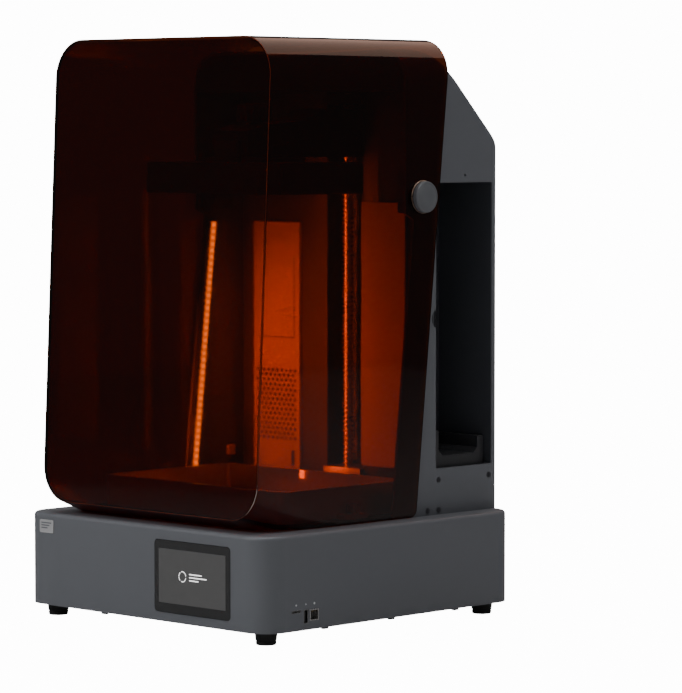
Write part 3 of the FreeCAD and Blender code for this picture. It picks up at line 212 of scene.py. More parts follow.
# ---------------------------------------------------------------- finishes of the printer

CASE_PAINT = finish("case_paint", (0.073, 0.077, 0.087), 0.52, grain=1500, drift=0.05,
                    bump=0.00004)
BLACK_PAINT = finish("black_paint", (0.012, 0.012, 0.013), 0.5, grain=1600, drift=0.15,
                     bump=0.00004)
CHAMBER_PAINT = finish("chamber_paint", (0.035, 0.035, 0.037), 0.45, grain=1500, drift=0.1,
                       bump=0.00004)
DARK_STEEL = brushed("dark_steel", (0.10, 0.10, 0.11), 0.42, (0.05, 1, 1))
BRIGHT_STEEL = brushed("bright_steel", (0.62, 0.61, 0.60), 0.25, (1, 1, 0.05))
ALUMINIUM = brushed("aluminium", (0.72, 0.72, 0.73), 0.34, (0.04, 1, 1))
SCREW_STEEL = brushed("screw_steel", (0.95, 0.93, 0.90), 0.28, (1, 1, 0.3))
# near-black: painted shade where it covers the filter's holes, and the plain dark colour of the
# filter's door seam and window
SHADE_AND_SEAM_BLACK = finish("hole_shade_and_seam_black", (0.004, 0.004, 0.004), 0.8, grain=900, drift=0.2, bump=0.0)
# painted highlight: a pale, glossy tone for the tube on the hood's front edge, standing in for the
# light that the edge catches
EDGE_HIGHLIGHT_PAINT = finish("painted_edge_highlight", (0.30, 0.22, 0.18), 0.2, grain=700, drift=0.1, bump=0.0,
                     Coat_Weight=1.0, Coat_Roughness=0.05)
RUBBER = finish("rubber", (0.010, 0.010, 0.010), 0.7, grain=2500, drift=0.3, bump=0.00008)
PALE_PANEL = finish("pale_panel", (0.26, 0.25, 0.24), 0.55, grain=1300, drift=0.06, bump=0.00004)
SIDE_ENAMEL = finish("side_enamel", (0.48, 0.46, 0.45), 0.4, grain=1300, drift=0.05)
BAY_PLASTIC = finish("bay_plastic", (0.034, 0.036, 0.042), 0.38, grain=1700, drift=0.1,
                     bump=0.00005)
CRADLE_PLASTIC = finish("cradle_plastic", (0.02, 0.02, 0.022), 0.3, grain=1700, drift=0.2)
CAP_PLASTIC = finish("cap_plastic", (0.075, 0.078, 0.085), 0.42, grain=1400, drift=0.06)
BOARD_GREEN = finish("board_lacquer", (0.012, 0.07, 0.03), 0.35, grain=500, drift=0.4)
CARBON = finish("carbon_block", (0.02, 0.02, 0.02), 0.95, grain=320, drift=0.9, bump=0.0006)
BADGE_METAL = finish("badge_enamel", (0.24, 0.24, 0.243), 0.38, grain=1200, drift=0.05)
GOLD = brushed("gold_contact", (0.83, 0.58, 0.22), 0.25, (1, 1, 0.1))
# painted glint: a pale, coated tone for the rings behind the pivot caps, standing in for light
# caught by their clear rims
RING_GLINT_PAINT = finish("painted_ring_glint", (0.5, 0.42, 0.38), 0.15, grain=700, drift=0.1, bump=0.0,
                     Coat_Weight=1.0, Coat_Roughness=0.04)
SCREEN_BLACK = finish("screen_black", (0.016, 0.016, 0.0165), 0.14, grain=60, drift=0.04, bump=0.0)
MASK_GLASS = finish("mask_glass", (0.01, 0.012, 0.016), 0.06, grain=40, drift=0.1, bump=0.0,
                    Coat_Weight=0.6, Coat_Roughness=0.03)
FILM = finish("release_film", (0.5, 0.5, 0.48), 0.12, grain=300, drift=0.06, bump=0.00002)
AMBER = tinted_glass("amber_acrylic", (0.25, 0.034, 0.0006), (0.30, 0.07, 0.01))
CLEAR_BUSH = tinted_glass("clear_bush", (0.80, 0.66, 0.55), (0.7, 0.5, 0.4))
BEAD_GLOW = glowing("bead_glow", (0.92, 1.0, 0.01), 6.5)
FILL_GLOW = glowing("fill_glow", (1.0, 0.78, 0.01), 3.2)
SCREEN_GLOW = glowing("screen_glow", (0.063, 0.062, 0.062), 0.75, (0.018, 0.018, 0.018))
SCREEN_MARK = glowing("screen_mark", (0.85, 0.85, 0.85), 1.6, (0.5, 0.5, 0.5))
MARK_WHITE = finish("mark_ink", (0.42, 0.43, 0.44), 0.6, grain=900, drift=0.05, bump=0.0)

NODE_FINISH = {
    "base_housing": CASE_PAINT, "base_plate": DARK_STEEL, "rubber_feet": RUBBER,
    "base_screws": BRIGHT_STEEL, "touchscreen_glass": SCREEN_BLACK, "display_module": BLACK_PAINT,
    "badge_plate": BADGE_METAL, "card_reader": BRIGHT_STEEL, "usb_port": BRIGHT_STEEL,
    "ethernet_port": BRIGHT_STEEL, "port_board": BOARD_GREEN, "power_inlet": BLACK_PAINT,
    "switch_body": BLACK_PAINT, "power_rocker": BLACK_PAINT, "cooling_fan_frame": BLACK_PAINT,
    "cooling_fan_impeller": BLACK_PAINT, "light_box": PALE_PANEL, "uv_led_board": BOARD_GREEN,
    "heat_sink": ALUMINIUM, "mainboard": BOARD_GREEN, "power_supply": ALUMINIUM,
    "top_deck": BLACK_PAINT, "mask_screen": MASK_GLASS, "column_shell": CASE_PAINT,
    "column_screws": DARK_STEEL, "bay_liner": BAY_PLASTIC, "bay_cradle": CRADLE_PLASTIC,
    "back_wall": CHAMBER_PAINT, "bay_front_panel": CHAMBER_PAINT, "head_cover": BLACK_PAINT,
    "filter_cover": PALE_PANEL, "filter_cartridge": CARBON, "light_bar": BLACK_PAINT,
    "light_bar_beads": BEAD_GLOW, "rear_cover": CASE_PAINT, "z_frame": BLACK_PAINT,
    "linear_rails": BRIGHT_STEEL, "rail_carriages": ALUMINIUM, "arm_plate": DARK_STEEL,
    "ball_screw": BRIGHT_STEEL, "shaft_coupling": ALUMINIUM, "motor_shaft": BRIGHT_STEEL,
    "stepper_motor": BLACK_PAINT, "lower_bearing_block": ALUMINIUM,
    "upper_bearing_block": DARK_STEEL, "ball_nut": BRIGHT_STEEL, "nut_block": ALUMINIUM,
    "z_arm": BLACK_PAINT, "clamp_knob": BLACK_PAINT, "build_platform": DARK_STEEL,
    "platform_block": DARK_STEEL, "vat_frame": ALUMINIUM, "release_film": FILM,
    "film_ring": ALUMINIUM, "vat_knob_left": BRIGHT_STEEL, "vat_knob_right": BRIGHT_STEEL,
    "hood_shell": AMBER, "hood_bushes": CLEAR_BUSH, "pivot_caps": CAP_PLASTIC,
    "hinge_brackets": CHAMBER_PAINT,
}


def paint_nodes():
    """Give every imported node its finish, in each of its material slots."""
    for name, material in NODE_FINISH.items():
        slots = parts[name].material_slots
        if not slots:
            parts[name].data.materials.append(material)
        for slot in slots:
            slot.material = material


# ---------------------------------------------------------------- camera, floor and lights

CAMERA_PLACE = (2.6858, -2.6274, 0.5208)
CAMERA_DIP, CAMERA_TURN = math.radians(3.55), math.radians(44.47)
CAMERA_LENS, CAMERA_SENSOR = 182.7, 36

SKY_SEEN = 14.0      # to the camera itself: plain white once the view transform has acted
SKY_LIT = 0.22       # on matt surfaces
SKY_DIM = 0.06       # in reflections
SKY_THROUGH = 0.22   # through the hood
COOL_WHITE = (0.95, 0.97, 1, 1)

FLOOR_HALF = 2.9
FLOOR_GLOW_SHARE = 0.9    # how far the floor is lit up for the camera
FLOOR_CALM_SHARE = 0.85   # how far it is evened out in reflections
FLOOR_CALM_GAIN = 1.3     # its brightness there, next to the sky's

OUT_OF_SIGHT = ("camera", "transmission")
OUT_OF_MIRRORS = ("camera", "transmission", "glossy")


def place_camera():
    """The camera looks at the printer's front and right side from a little above the base."""
    lens = bpy.data.cameras.new("camera")
    lens.lens = CAMERA_LENS
    lens.sensor_width = CAMERA_SENSOR
    camera = new_item("camera", lens)
    camera.location = CAMERA_PLACE
    camera.rotation_euler = (math.pi / 2 - CAMERA_DIP, 0, CAMERA_TURN)
    bpy.context.scene.camera = camera


def softbox(name, place, aim, size, power, colour=(1, 1, 1), unseen=()):
    """A soft rectangular lamp at a place, turned to face a point; some rays may not see it."""
    lamp = bpy.data.lights.new(name, "AREA")
    lamp.shape = "RECTANGLE"
    lamp.size, lamp.size_y = size
    lamp.energy = power
    lamp.color = colour
    item = new_item(name, lamp)
    item.location = place
    item.rotation_euler = (Vector(aim) - Vector(place)).to_track_quat("-Z", "Y").to_euler()
    for ray in unseen:
        setattr(item, f"visible_{ray}", False)


def light_studio():
    """A pale room: white to look at, but dim in reflections and through the hood."""
    world = bpy.data.worlds.new("studio")
    bpy.context.scene.world = world
    world.use_nodes = True
    tree = world.node_tree
    seen = tree.nodes["Background"]
    seen.inputs["Color"].default_value = (1, 1, 1, 1)
    seen.inputs["Strength"].default_value = SKY_SEEN
    lit = add_node(tree, "Background", Color=COOL_WHITE, Strength=SKY_LIT)["Background"]
    dim = add_node(tree, "Background", Color=COOL_WHITE, Strength=SKY_DIM)["Background"]
    beyond = add_node(tree, "Background", Strength=SKY_THROUGH)["Background"]
    ray = add_node(tree, "LightPath")
    sky = blend(tree, ray["Is Diffuse Ray"], dim, lit)
    sky = blend(tree, ray["Is Transmission Ray"], sky, beyond)
    sky = blend(tree, ray["Is Camera Ray"], sky, seen.outputs["Background"])
    tree.links.new(sky, tree.nodes["World Output"].inputs["Surface"])

    softbox("key_lamp", (-0.9, -2.6, 1.9), (0, 0, 0.2), (1.4, 1.0), 62)
    softbox("side_lamp", (2.6, 0.9, 1.5), (0, 0, 0.25), (0.7, 1.3), 9)
    softbox("top_lamp", (0, 0.1, 2.3), (0, 0.05, 0), (1.8, 1.5), 60)
    softbox("chamber_lamp", (-0.135, 0.0, 0.27), (0.0, 0.11, 0.24), (0.03, 0.22), 1.6,
            (1, 0.43, 0.2), OUT_OF_MIRRORS)
    softbox("screw_lamp", (-0.03, 0.07, 0.31), (0, 0.118, 0.31), (0.03, 0.34), 0.35,
            (1, 0.5, 0.2), OUT_OF_SIGHT)
    softbox("rim_lamp", (-0.3, 2.2, 2.7), (0.1, 0.1, 0.6), (3.0, 1.7), 19,
            (1, 0.64, 0.50), OUT_OF_SIGHT)


def lay_floor():
    """A plain pale floor under the feet: white to the camera, and dim in reflections."""
    mesh = bpy.data.meshes.new("floor")
    half = FLOOR_HALF
    mesh.from_pydata([(-half, -half, 0), (half, -half, 0), (half, half, 0), (-half, half, 0)],
                     [], [(0, 1, 2, 3)])
    floor = new_item("floor", mesh)
    cloth = finish("pale_floor", (0.86, 0.86, 0.86), 0.8)
    tree = cloth.node_tree
    glow = add_node(tree, "Emission", Strength=SKY_SEEN / FLOOR_GLOW_SHARE)["Emission"]
    calm = add_node(tree, "Emission", Strength=FLOOR_CALM_GAIN * SKY_DIM)["Emission"]
    ray = add_node(tree, "LightPath")
    mirrored = maths(tree, "MULTIPLY", ray["Is Glossy Ray"], FLOOR_CALM_SHARE)
    seen = maths(tree, "MULTIPLY", ray["Is Camera Ray"], FLOOR_GLOW_SHARE)
    look = blend(tree, mirrored, tree.nodes["Principled BSDF"].outputs["BSDF"], calm)
    look = blend(tree, seen, look, glow)
    tree.links.new(look, tree.nodes["Material Output"].inputs["Surface"])
    floor.data.materials.append(cloth)


# ---------------------------------------------------------------- tools for pieces

def settle(item, material, body, slot, *nodes, crease=35):
    """Give a finished mesh its look, the body it rides on and the nodes it stands for."""
    mesh = item.data
    mesh.shade_smooth()
    mesh.set_sharp_from_angle(angle=math.radians(crease))
    if material:
        mesh.materials.clear()
        mesh.materials.append(material)
    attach(item, body)
    if nodes:
        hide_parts(*nodes)
    return item


def new_item(name, data):
    """An object that holds some data, in the scene at the origin."""
    item = bpy.data.objects.new(name, data)
    bpy.context.scene.collection.objects.link(item)
    return item


def to_item(name, work):
    """An object from a bmesh, with its doubles merged and its faces turned outwards."""
    bmesh.ops.remove_doubles(work, verts=work.verts, dist=1e-7)
    bmesh.ops.recalc_face_normals(work, faces=work.faces)
    mesh = bpy.data.meshes.new(name)
    work.to_mesh(mesh)
    work.free()
    return new_item(name, mesh)


def add_ring_stack(work, rings, closed_ends=True, looped=False):
    """Skin a row of rings of points, each ring closed, with a face across each end."""
    rows = [[work.verts.new(point) for point in ring] for ring in rings]
    pairs = list(zip(rows, rows[1:]))
    if looped:
        pairs.append((rows[-1], rows[0]))
    for near, far in pairs:
        for i, vert in enumerate(near):
            after = (i + 1) % len(near)
            work.faces.new((vert, near[after], far[after], far[i]))
    if closed_ends and not looped:
        work.faces.new(rows[0])
        work.faces.new(rows[-1])


def along(axis, centre, radius, place, angle):
    """A point at a radius and angle round an axis through a centre, at a place along it."""
    a, b = radius * math.cos(angle), radius * math.sin(angle)
    x, y, z = centre
    if axis == "X":
        return (x + place, y + a, z + b)
    if axis == "Y":
        return (x + a, y + place, z + b)
    return (x + a, y + b, z + place)


def circle(axis, centre, radius, count, place=0.0):
    """Evenly spaced points on a circle round an axis."""
    return [along(axis, centre, radius, place, i * math.tau / count) for i in range(count)]


def add_turned(work, profile, centre, axis="Z", count=48, lobes=0, depth=0.0, grip=(0, 0)):
    """A turned form from (radius, place) pairs; lobes ripple it where a grip lies."""
    rings = []
    for radius, place in profile:
        ring = []
        for i in range(count):
            angle = i * math.tau / count
            ripple = 0.0
            if lobes and grip[0] <= place <= grip[1]:
                ripple = depth * (math.cos(lobes * angle) - 1) / 2
            ring.append(along(axis, centre, radius + ripple, place, angle))
        rings.append(ring)
    add_ring_stack(work, rings)


def rounded_outline(low, high, radius, steps=6):
    """Points of a rectangle with rounded corners, anticlockwise, as (across, up) pairs."""
    points = []
    corners = ((high[0] - radius, high[1] - radius, 0), (low[0] + radius, high[1] - radius, 1),
               (low[0] + radius, low[1] + radius, 2), (high[0] - radius, low[1] + radius, 3))
    for x, y, quarter in corners:
        for i in range(steps + 1):
            angle = (quarter + i / steps) * math.pi / 2
            points.append((x + radius * math.cos(angle), y + radius * math.sin(angle)))
    return points


def add_plate(work, low, high, radius, near, far, plane="XZ", edge=0.0, steps=6):
    """A rounded plate between two places on its plane's axis, its near rim eased by an edge."""
    def lift(points, place):
        if plane == "XZ":
            return [(x, place, y) for x, y in points]
        if plane == "YZ":
            return [(place, x, y) for x, y in points]
        return [(x, y, place) for x, y in points]
    full = rounded_outline(low, high, radius, steps)
    rings = [lift(full, far), lift(full, near)]
    if edge:
        sign = 1 if far > near else -1
        eased = rounded_outline((low[0] + edge, low[1] + edge), (high[0] - edge, high[1] - edge),
                                max(radius - edge, edge / 4), steps)
        rings = [lift(full, far), lift(full, near + sign * edge), lift(eased, near)]
    add_ring_stack(work, rings)


def add_tube(work, path, radius, sides=8, looped=True):
    """A round bead along a path of points."""
    count = len(path)
    rings = []
    for i, point in enumerate(path):
        before = Vector(path[i - 1] if looped or i else path[0])
        after = Vector(path[(i + 1) % count] if looped or i < count - 1 else path[-1])
        heading = (after - before).normalized()
        turn = heading.to_track_quat("Z", "Y")
        ring = []
        for j in range(sides):
            angle = j * math.tau / sides
            offset = turn @ Vector((radius * math.cos(angle), radius * math.sin(angle), 0))
            ring.append(Vector(point) + offset)
        rings.append(ring)
    add_ring_stack(work, rings, looped=looped)


# ---------------------------------------------------------------- geometry nodes

def scatter_tree(title):
    """A tree that puts a named object on a mesh's points, then makes one plain mesh of it."""
    tree = bpy.data.node_groups.new(title, "GeometryNodeTree")
    face = tree.interface
    face.new_socket("Geometry", in_out="INPUT", socket_type="NodeSocketGeometry")
    for name, kind in (("Pattern", "Object"), ("Size", "Float"), ("Turn", "Vector"),
                       ("Finish", "Material")):
        face.new_socket(name, in_out="INPUT", socket_type=f"NodeSocket{kind}")
    face.new_socket("Geometry", in_out="OUTPUT", socket_type="NodeSocketGeometry")
    nodes, links = tree.nodes, tree.links
    given = nodes.new("NodeGroupInput").outputs
    pattern = nodes.new("GeometryNodeObjectInfo")
    links.new(given["Pattern"], pattern.inputs["Object"])
    scatter = nodes.new("GeometryNodeInstanceOnPoints")
    links.new(given["Geometry"], scatter.inputs["Points"])
    links.new(pattern.outputs["Geometry"], scatter.inputs["Instance"])
    links.new(given["Turn"], scatter.inputs["Rotation"])
    links.new(given["Size"], scatter.inputs["Scale"])
    whole = nodes.new("GeometryNodeRealizeInstances")
    links.new(scatter.outputs["Instances"], whole.inputs["Geometry"])
    coat = nodes.new("GeometryNodeSetMaterial")
    links.new(whole.outputs["Geometry"], coat.inputs["Geometry"])
    links.new(given["Finish"], coat.inputs["Material"])
    links.new(coat.outputs["Geometry"], nodes.new("NodeGroupOutput").inputs["Geometry"])
    return tree


SCATTER = scatter_tree("repeated_pieces")


def repeated(name, pattern, points, material, turn=(0, 0, 0), size=1.0):
    """One plain mesh of a small form repeated at each point; the small form is used up."""
    seed = bpy.data.meshes.new(name)
    seed.from_pydata([tuple(p) for p in points], [], [])
    item = new_item(name, seed)
    tool = item.modifiers.new("repeat", "NODES")
    tool.node_group = SCATTER
    settings = {"Pattern": pattern, "Size": size, "Turn": turn, "Finish": material}
    for socket in SCATTER.interface.items_tree:
        if socket.in_out == "INPUT" and socket.name in settings:
            tool[socket.identifier] = settings[socket.name]
    bpy.context.view_layer.update()
    ready = item.evaluated_get(bpy.context.evaluated_depsgraph_get())
    plain = bpy.data.meshes.new_from_object(ready)
    item.modifiers.remove(tool)
    item.data = plain
    bpy.data.objects.remove(pattern)
    return item


def flat_disc(radius, thick, sides, hollow=0.0):
    """A small disc or ring that faces +Z, standing on the ground plane, to repeat."""
    work = bmesh.new()
    profile = [(radius, 0), (radius, thick * 0.7), (radius * 0.92, thick)]
    if hollow:
        profile += [(hollow, thick), (hollow * 0.9, thick * 0.4)]
    add_turned(work, profile, (0, 0, 0), count=sides)
    return to_item("pattern", work)


# ---------------------------------------------------------------- base details

FRONT, SIDE = -0.188, 0.1855          # faces of the base housing
CASE_LOW, CASE_TOP = 0.014, 0.112     # its lower and upper edge


def make_screen():
    """The touchscreen: a black glass, a lit display and an emblem of arcs and bars."""
    low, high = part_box("touchscreen_glass")
    work = bmesh.new()
    add_plate(work, (low.x, low.z), (high.x, high.z), 4.5 * MM, low.y, high.y,
              edge=0.5 * MM, steps=10)
    settle(to_item("screen_glass", work), SCREEN_BLACK, "base", "screen_glass",
           "touchscreen_glass")
    left, right = low.x + 6.8 * MM, high.x - 6.8 * MM
    down, up = low.z + 10.2 * MM, high.z - 9 * MM
    work = bmesh.new()
    face = low.y - 0.02 * MM
    add_plate(work, (left, down), (right, up), 0.6 * MM, face, face + 0.3 * MM)
    settle(to_item("screen_display", work), SCREEN_GLOW, "base", "screen_glass")
    middle = ((left + right) / 2 - 14 * MM, face - 0.02 * MM, (down + up) / 2 + 1 * MM)
    work = bmesh.new()
    sweep, steps = 1.75, 14
    for start in (0.15, 2.25, 4.35):
        arc = [along("Y", middle, 5.2 * MM, 0, start + i * sweep / steps)
               for i in range(steps + 1)]
        add_tube(work, arc, 0.5 * MM, 6, looped=False)
    for line, wide in enumerate((19, 26, 14)):
        x = middle[0] + 10 * MM
        z = middle[2] + (3.2 - 3.2 * line) * MM
        add_plate(work, (x, z - 0.6 * MM), (x + wide * MM, z + 0.6 * MM), 0.5 * MM,
                  middle[1], middle[1] + 0.2 * MM, steps=3)
    emblem = to_item("screen_emblem", work)
    for vert in emblem.data.vertices:
        vert.co.y = max(vert.co.y, middle[1] - 0.02 * MM)
    settle(emblem, SCREEN_MARK, "base", "screen_glass")


def make_badge():
    """The badge: a pale plate with an eased rim and three plain bars."""
    low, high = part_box("badge_plate")
    work = bmesh.new()
    add_plate(work, (low.x, low.z), (high.x, high.z), 1.6 * MM, low.y + 0.05 * MM, high.y,
              edge=0.3 * MM)
    settle(to_item("badge", work), BADGE_METAL, "base", "badge_light", "badge_plate")
    work = bmesh.new()
    for line in range(3):
        z = high.z - (3.2 + 2.7 * line) * MM
        end = high.x - (3 + 3 * line) * MM
        add_plate(work, (low.x + 3 * MM, z - 0.7 * MM), (end, z + 0.7 * MM), 0.4 * MM,
                  low.y, low.y + 0.2 * MM, steps=3)
    settle(to_item("badge_bars", work), CASE_PAINT, "base", "case_grey")


def make_feet():
    """Rubber feet: a tapered cup with a groove, a heel and a rounded toe."""
    work = bmesh.new()
    inset = 26 * MM
    profile = [(7.5, 0), (9.6, 0), (10.3, 0.7), (10.7, 3.4), (10.2, 3.9), (10.3, 4.6), (10.9, 5.0),
               (11.7, 11.8), (12.0, 12.4), (12.0, 14)]
    scaled = [(radius * MM, place * MM) for radius, place in profile]
    for side in (-1, 1):
        for end in (-1, 1):
            add_turned(work, scaled, (side * (SIDE - inset), end * (-FRONT - inset), 0))
    settle(to_item("feet", work), RUBBER, "base", "rubber_black", "rubber_feet")


def make_ports():
    """What shows in the three sockets: a tongue, a row of contacts and small marks above."""
    work = bmesh.new()
    low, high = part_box("usb_port")
    mid = (low.y + high.y) / 2
    add_plate(work, (mid - 0.9 * MM, low.z + 2 * MM), (mid + 0.9 * MM, high.z - 2 * MM), 0.2 * MM,
              high.x - 1.5 * MM, high.x - 13 * MM, plane="YZ", steps=2)
    settle(to_item("usb_tongue", work), BLACK_PAINT, "base", "black_plastic")
    work = bmesh.new()
    low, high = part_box("ethernet_port")
    for i in range(8):
        y = low.y + (2.9 + i) * MM
        wire = [(high.x - 2 * MM, y, high.z - 2.2 * MM), (high.x - 8 * MM, y, high.z - 4 * MM),
                (high.x - 14.5 * MM, y, high.z - 5 * MM)]
        add_tube(work, wire, 0.22 * MM, 6, looped=False)
    settle(to_item("ethernet_contacts", work), GOLD, "base", "steel")
    work = bmesh.new()
    face = SIDE - 0.15 * MM
    for node, sides in (("card_reader", 4), ("usb_port", 3), ("ethernet_port", 24)):
        low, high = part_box(node)
        centre = (face, (low.y + high.y) / 2, CASE_LOW + 26.5 * MM)
        outline = [(1.25 * MM, 0), (1.25 * MM, 0.17 * MM), (0.75 * MM, 0.17 * MM)]
        add_turned(work, outline, centre, axis="X", count=sides)
    settle(to_item("port_marks", work), MARK_WHITE, "base", "badge_light")


def make_case_clips():
    """Small clips that show under the case's lower edge."""
    work = bmesh.new()
    inset = 6 * MM
    spots = [(-0.062, FRONT + inset, 4, 2.5)]
    spots += [(SIDE - inset, y, 2.5, 4) for y in (-0.098, 0.0, 0.098)]
    spots += [(inset - SIDE, y, 2.5, 4) for y in (-0.05, 0.08)]
    for x, y, wide, deep in spots:
        add_plate(work, (x - wide * MM, y - deep * MM), (x + wide * MM, y + deep * MM), 1.4 * MM,
                  CASE_LOW - 2.5 * MM, CASE_LOW + 0.2 * MM, plane="XY", edge=0.6 * MM)
    settle(to_item("case_clips", work), BLACK_PAINT, "base", "black_plastic")


# ---------------------------------------------------------------- Z axis details

def make_screw_thread():
    """The ball screw: a rounded thread along its shank, with a plain journal at each end."""
    low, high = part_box("ball_screw")
    x, y = 0.0, (low.y + high.y) / 2
    start = CASE_TOP + 39.3 * MM
    end = start + 394.4 * MM
    crest, root, pitch, sides = 6 * MM, 3.9 * MM, 5 * MM, 20
    form = (crest, crest, root, root, root)
    steps = len(form)
    count = int((end - start) / pitch) * steps
    work = bmesh.new()
    rings = []
    for i in range(count + 1):
        ring = []
        for j in range(sides):
            place = i / steps - j / sides
            share = (place * steps) % steps
            near = int(share) % steps
            radius = form[near] + (form[(near + 1) % steps] - form[near]) * (share - int(share))
            z = start + (end - start) * i / count
            angle = j * math.tau / sides
            ring.append((x + radius * math.cos(angle), y + radius * math.sin(angle), z))
        rings.append(ring)
    add_ring_stack(work, rings)
    journal, bevel = 4 * MM, 0.4 * MM
    for bottom, top in ((low.z, start + 1 * MM), (end - 1 * MM, high.z)):
        add_turned(work, [(journal - bevel, bottom), (journal, bottom + bevel),
                          (journal, top - bevel), (journal - bevel, top)], (x, y, 0), count=32)
    settle(to_item("screw_thread", work), SCREW_STEEL, "screw", "screw_steel", "ball_screw",
           crease=50)


def make_rail_screws():
    """Counterbored screws along both rails, and a row of holes down the channel's web."""
    low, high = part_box("linear_rails")
    pattern = flat_disc(2.6 * MM, 0.35 * MM, 20, hollow=1.5 * MM)
    points = [(side * 14 * MM, low.y - 0.02 * MM, low.z + (15 + 30 * i) * MM)
              for side in (-1, 1) for i in range(12)]
    heads = repeated("rail_screws", pattern, points, DARK_STEEL, (math.pi / 2, 0, 0))
    settle(heads, None, "base", "steel")
    pattern = flat_disc(1.5 * MM, 0.3 * MM, 14, hollow=0.9 * MM)
    web = high.y - 0.25 * MM
    points = [(-21.5 * MM, web, low.z + 12 * MM * i) for i in range(31)]
    holes = repeated("channel_holes", pattern, points, PALE_PANEL, (math.pi / 2, 0, 0))
    settle(holes, None, "base", "black_plastic")


def make_clamp_knob():
    """The platform's clamp: a lobed knob with a dished top, a collar, a stem and two wings."""
    low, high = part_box("clamp_knob")
    x, y = (low.x + high.x) / 2, (low.y + high.y) / 2
    work = bmesh.new()
    top, base = high.z, high.z - 20 * MM
    add_turned(work, [(12 * MM, base), (16.2 * MM, base + 1.2 * MM), (17 * MM, base + 3 * MM),
                      (17 * MM, top - 4 * MM), (15.4 * MM, top - 0.9 * MM), (12 * MM, top),
                      (10.5 * MM, top - 0.4 * MM), (9.5 * MM, top - 1.4 * MM),
                      (2 * MM, top - 1.6 * MM)],
               (x, y, 0), count=96, lobes=16, depth=1.6 * MM, grip=(base + 2 * MM, top - 3 * MM))
    add_turned(work, [(3.6 * MM, low.z), (4 * MM, low.z + 0.4 * MM), (4 * MM, base + 1 * MM),
                      (3.6 * MM, base + 1.4 * MM)], (x, y, 0), count=32)
    add_plate(work, (x - 23 * MM, y - 4.8 * MM), (x + 23 * MM, y + 4.8 * MM), 4 * MM,
              top - 2 * MM, base + 0.5 * MM, plane="XY", edge=1.2 * MM)
    settle(to_item("clamp_grip", work), BLACK_PAINT, "clamp", "black_plastic", "clamp_knob")


def make_vat_knobs():
    """Thumb screws on the vat's tabs, with a knurled rim and a round recess in the top."""
    for side in ("left", "right"):
        node = f"vat_knob_{side}"
        low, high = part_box(node)
        x, y = (low.x + high.x) / 2, (low.y + high.y) / 2
        base = high.z - 10 * MM
        work = bmesh.new()
        add_turned(work, [(5.6 * MM, base), (6.9 * MM, base + 0.6 * MM), (7 * MM, base + 1.4 * MM),
                          (7 * MM, high.z - 1.2 * MM), (6.2 * MM, high.z), (3.2 * MM, high.z),
                          (3.0 * MM, high.z - 1.2 * MM), (0.6 * MM, high.z - 1.3 * MM)],
                   (x, y, 0), count=120, lobes=30, depth=0.7 * MM,
                   grip=(base + 1 * MM, high.z - 1.1 * MM))
        add_turned(work, [(1.6 * MM, low.z), (2 * MM, low.z + 0.4 * MM), (2 * MM, base + 0.4 * MM),
                          (1.6 * MM, base + 0.8 * MM)], (x, y, 0), count=24)
        settle(to_item(f"vat_thumb_screw_{side}", work), BRIGHT_STEEL, node, "steel", node)


# ---------------------------------------------------------------- chamber details

def make_filter_cover():
    """The filter's cover: a rounded panel with a door seam, a window and a field of holes, whose
    near-black discs are painted shade.
    """
    low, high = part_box("filter_cover")
    front, back = low.y, high.y
    work = bmesh.new()
    add_plate(work, (low.x, low.z), (high.x, high.z), 3 * MM, front, back, edge=0.7 * MM)
    settle(to_item("filter_panel", work), PALE_PANEL, "base", "panel_grey", "filter_cover")
    # near-black discs over the holes: painted shade inside them
    pattern = flat_disc(2.0 * MM, 0.12 * MM, 12)
    points = []
    for line in range(15):
        shift = line % 2
        for place in range(9 - shift):
            points.append((low.x + (7 + 7 * place + 3.5 * shift) * MM, front,
                           low.z + (38 + 5.4 * line) * MM))
    holes = repeated("filter_holes", pattern, points, SHADE_AND_SEAM_BLACK, (math.pi / 2, 0, 0))
    settle(holes, None, "base", "black_plastic")
    work = bmesh.new()
    right, door = high.x - 8 * MM, low.z + 151 * MM
    near, far = front - 0.1 * MM, front + 0.3 * MM
    add_plate(work, (right - 1 * MM, door), (right, high.z - 38 * MM), 0.4 * MM, near, far,
              steps=3)
    add_plate(work, (low.x + 6 * MM, door - 1 * MM), (right, door), 0.4 * MM, near, far,
              steps=3)
    add_plate(work, (right - 5 * MM, low.z + 9 * MM), (right, low.z + 25 * MM), 1 * MM, near, far)
    settle(to_item("filter_seams", work), SHADE_AND_SEAM_BLACK, "base", "black_plastic")


def make_hood_highlight_rim():
    """A pale tube along the real edge round the hood's leaning front face, coloured as a painted
    highlight of that edge.
    """
    sill, brow = Vector((0, -0.180, 0.1245)), Vector((0, -0.1569, 0.6143))
    half, inset, steps = 0.1633, 0.46 * MM, 14
    low_round, top_round = 37 * MM, 40 * MM
    span = (brow - sill).length
    path = []
    for side, quarter, radius in ((1, 0, top_round), (-1, 1, top_round),
                                  (-1, 2, low_round), (1, 3, low_round)):
        middle_x = side * (half - inset - radius)
        middle_up = span - inset - radius if quarter < 2 else inset + radius
        for i in range(steps + 1):
            angle = (quarter + i / steps) * math.pi / 2
            point = sill.lerp(brow, (middle_up + radius * math.sin(angle)) / span)
            path.append((middle_x + radius * math.cos(angle), point.y + inset, point.z))
    work = bmesh.new()
    # the tube's pale colour is a painted highlight line on the edge
    add_tube(work, path, 0.42 * MM, 8)
    settle(to_item("hood_front_rim", work), EDGE_HIGHLIGHT_PAINT, "hood", "hood_amber")


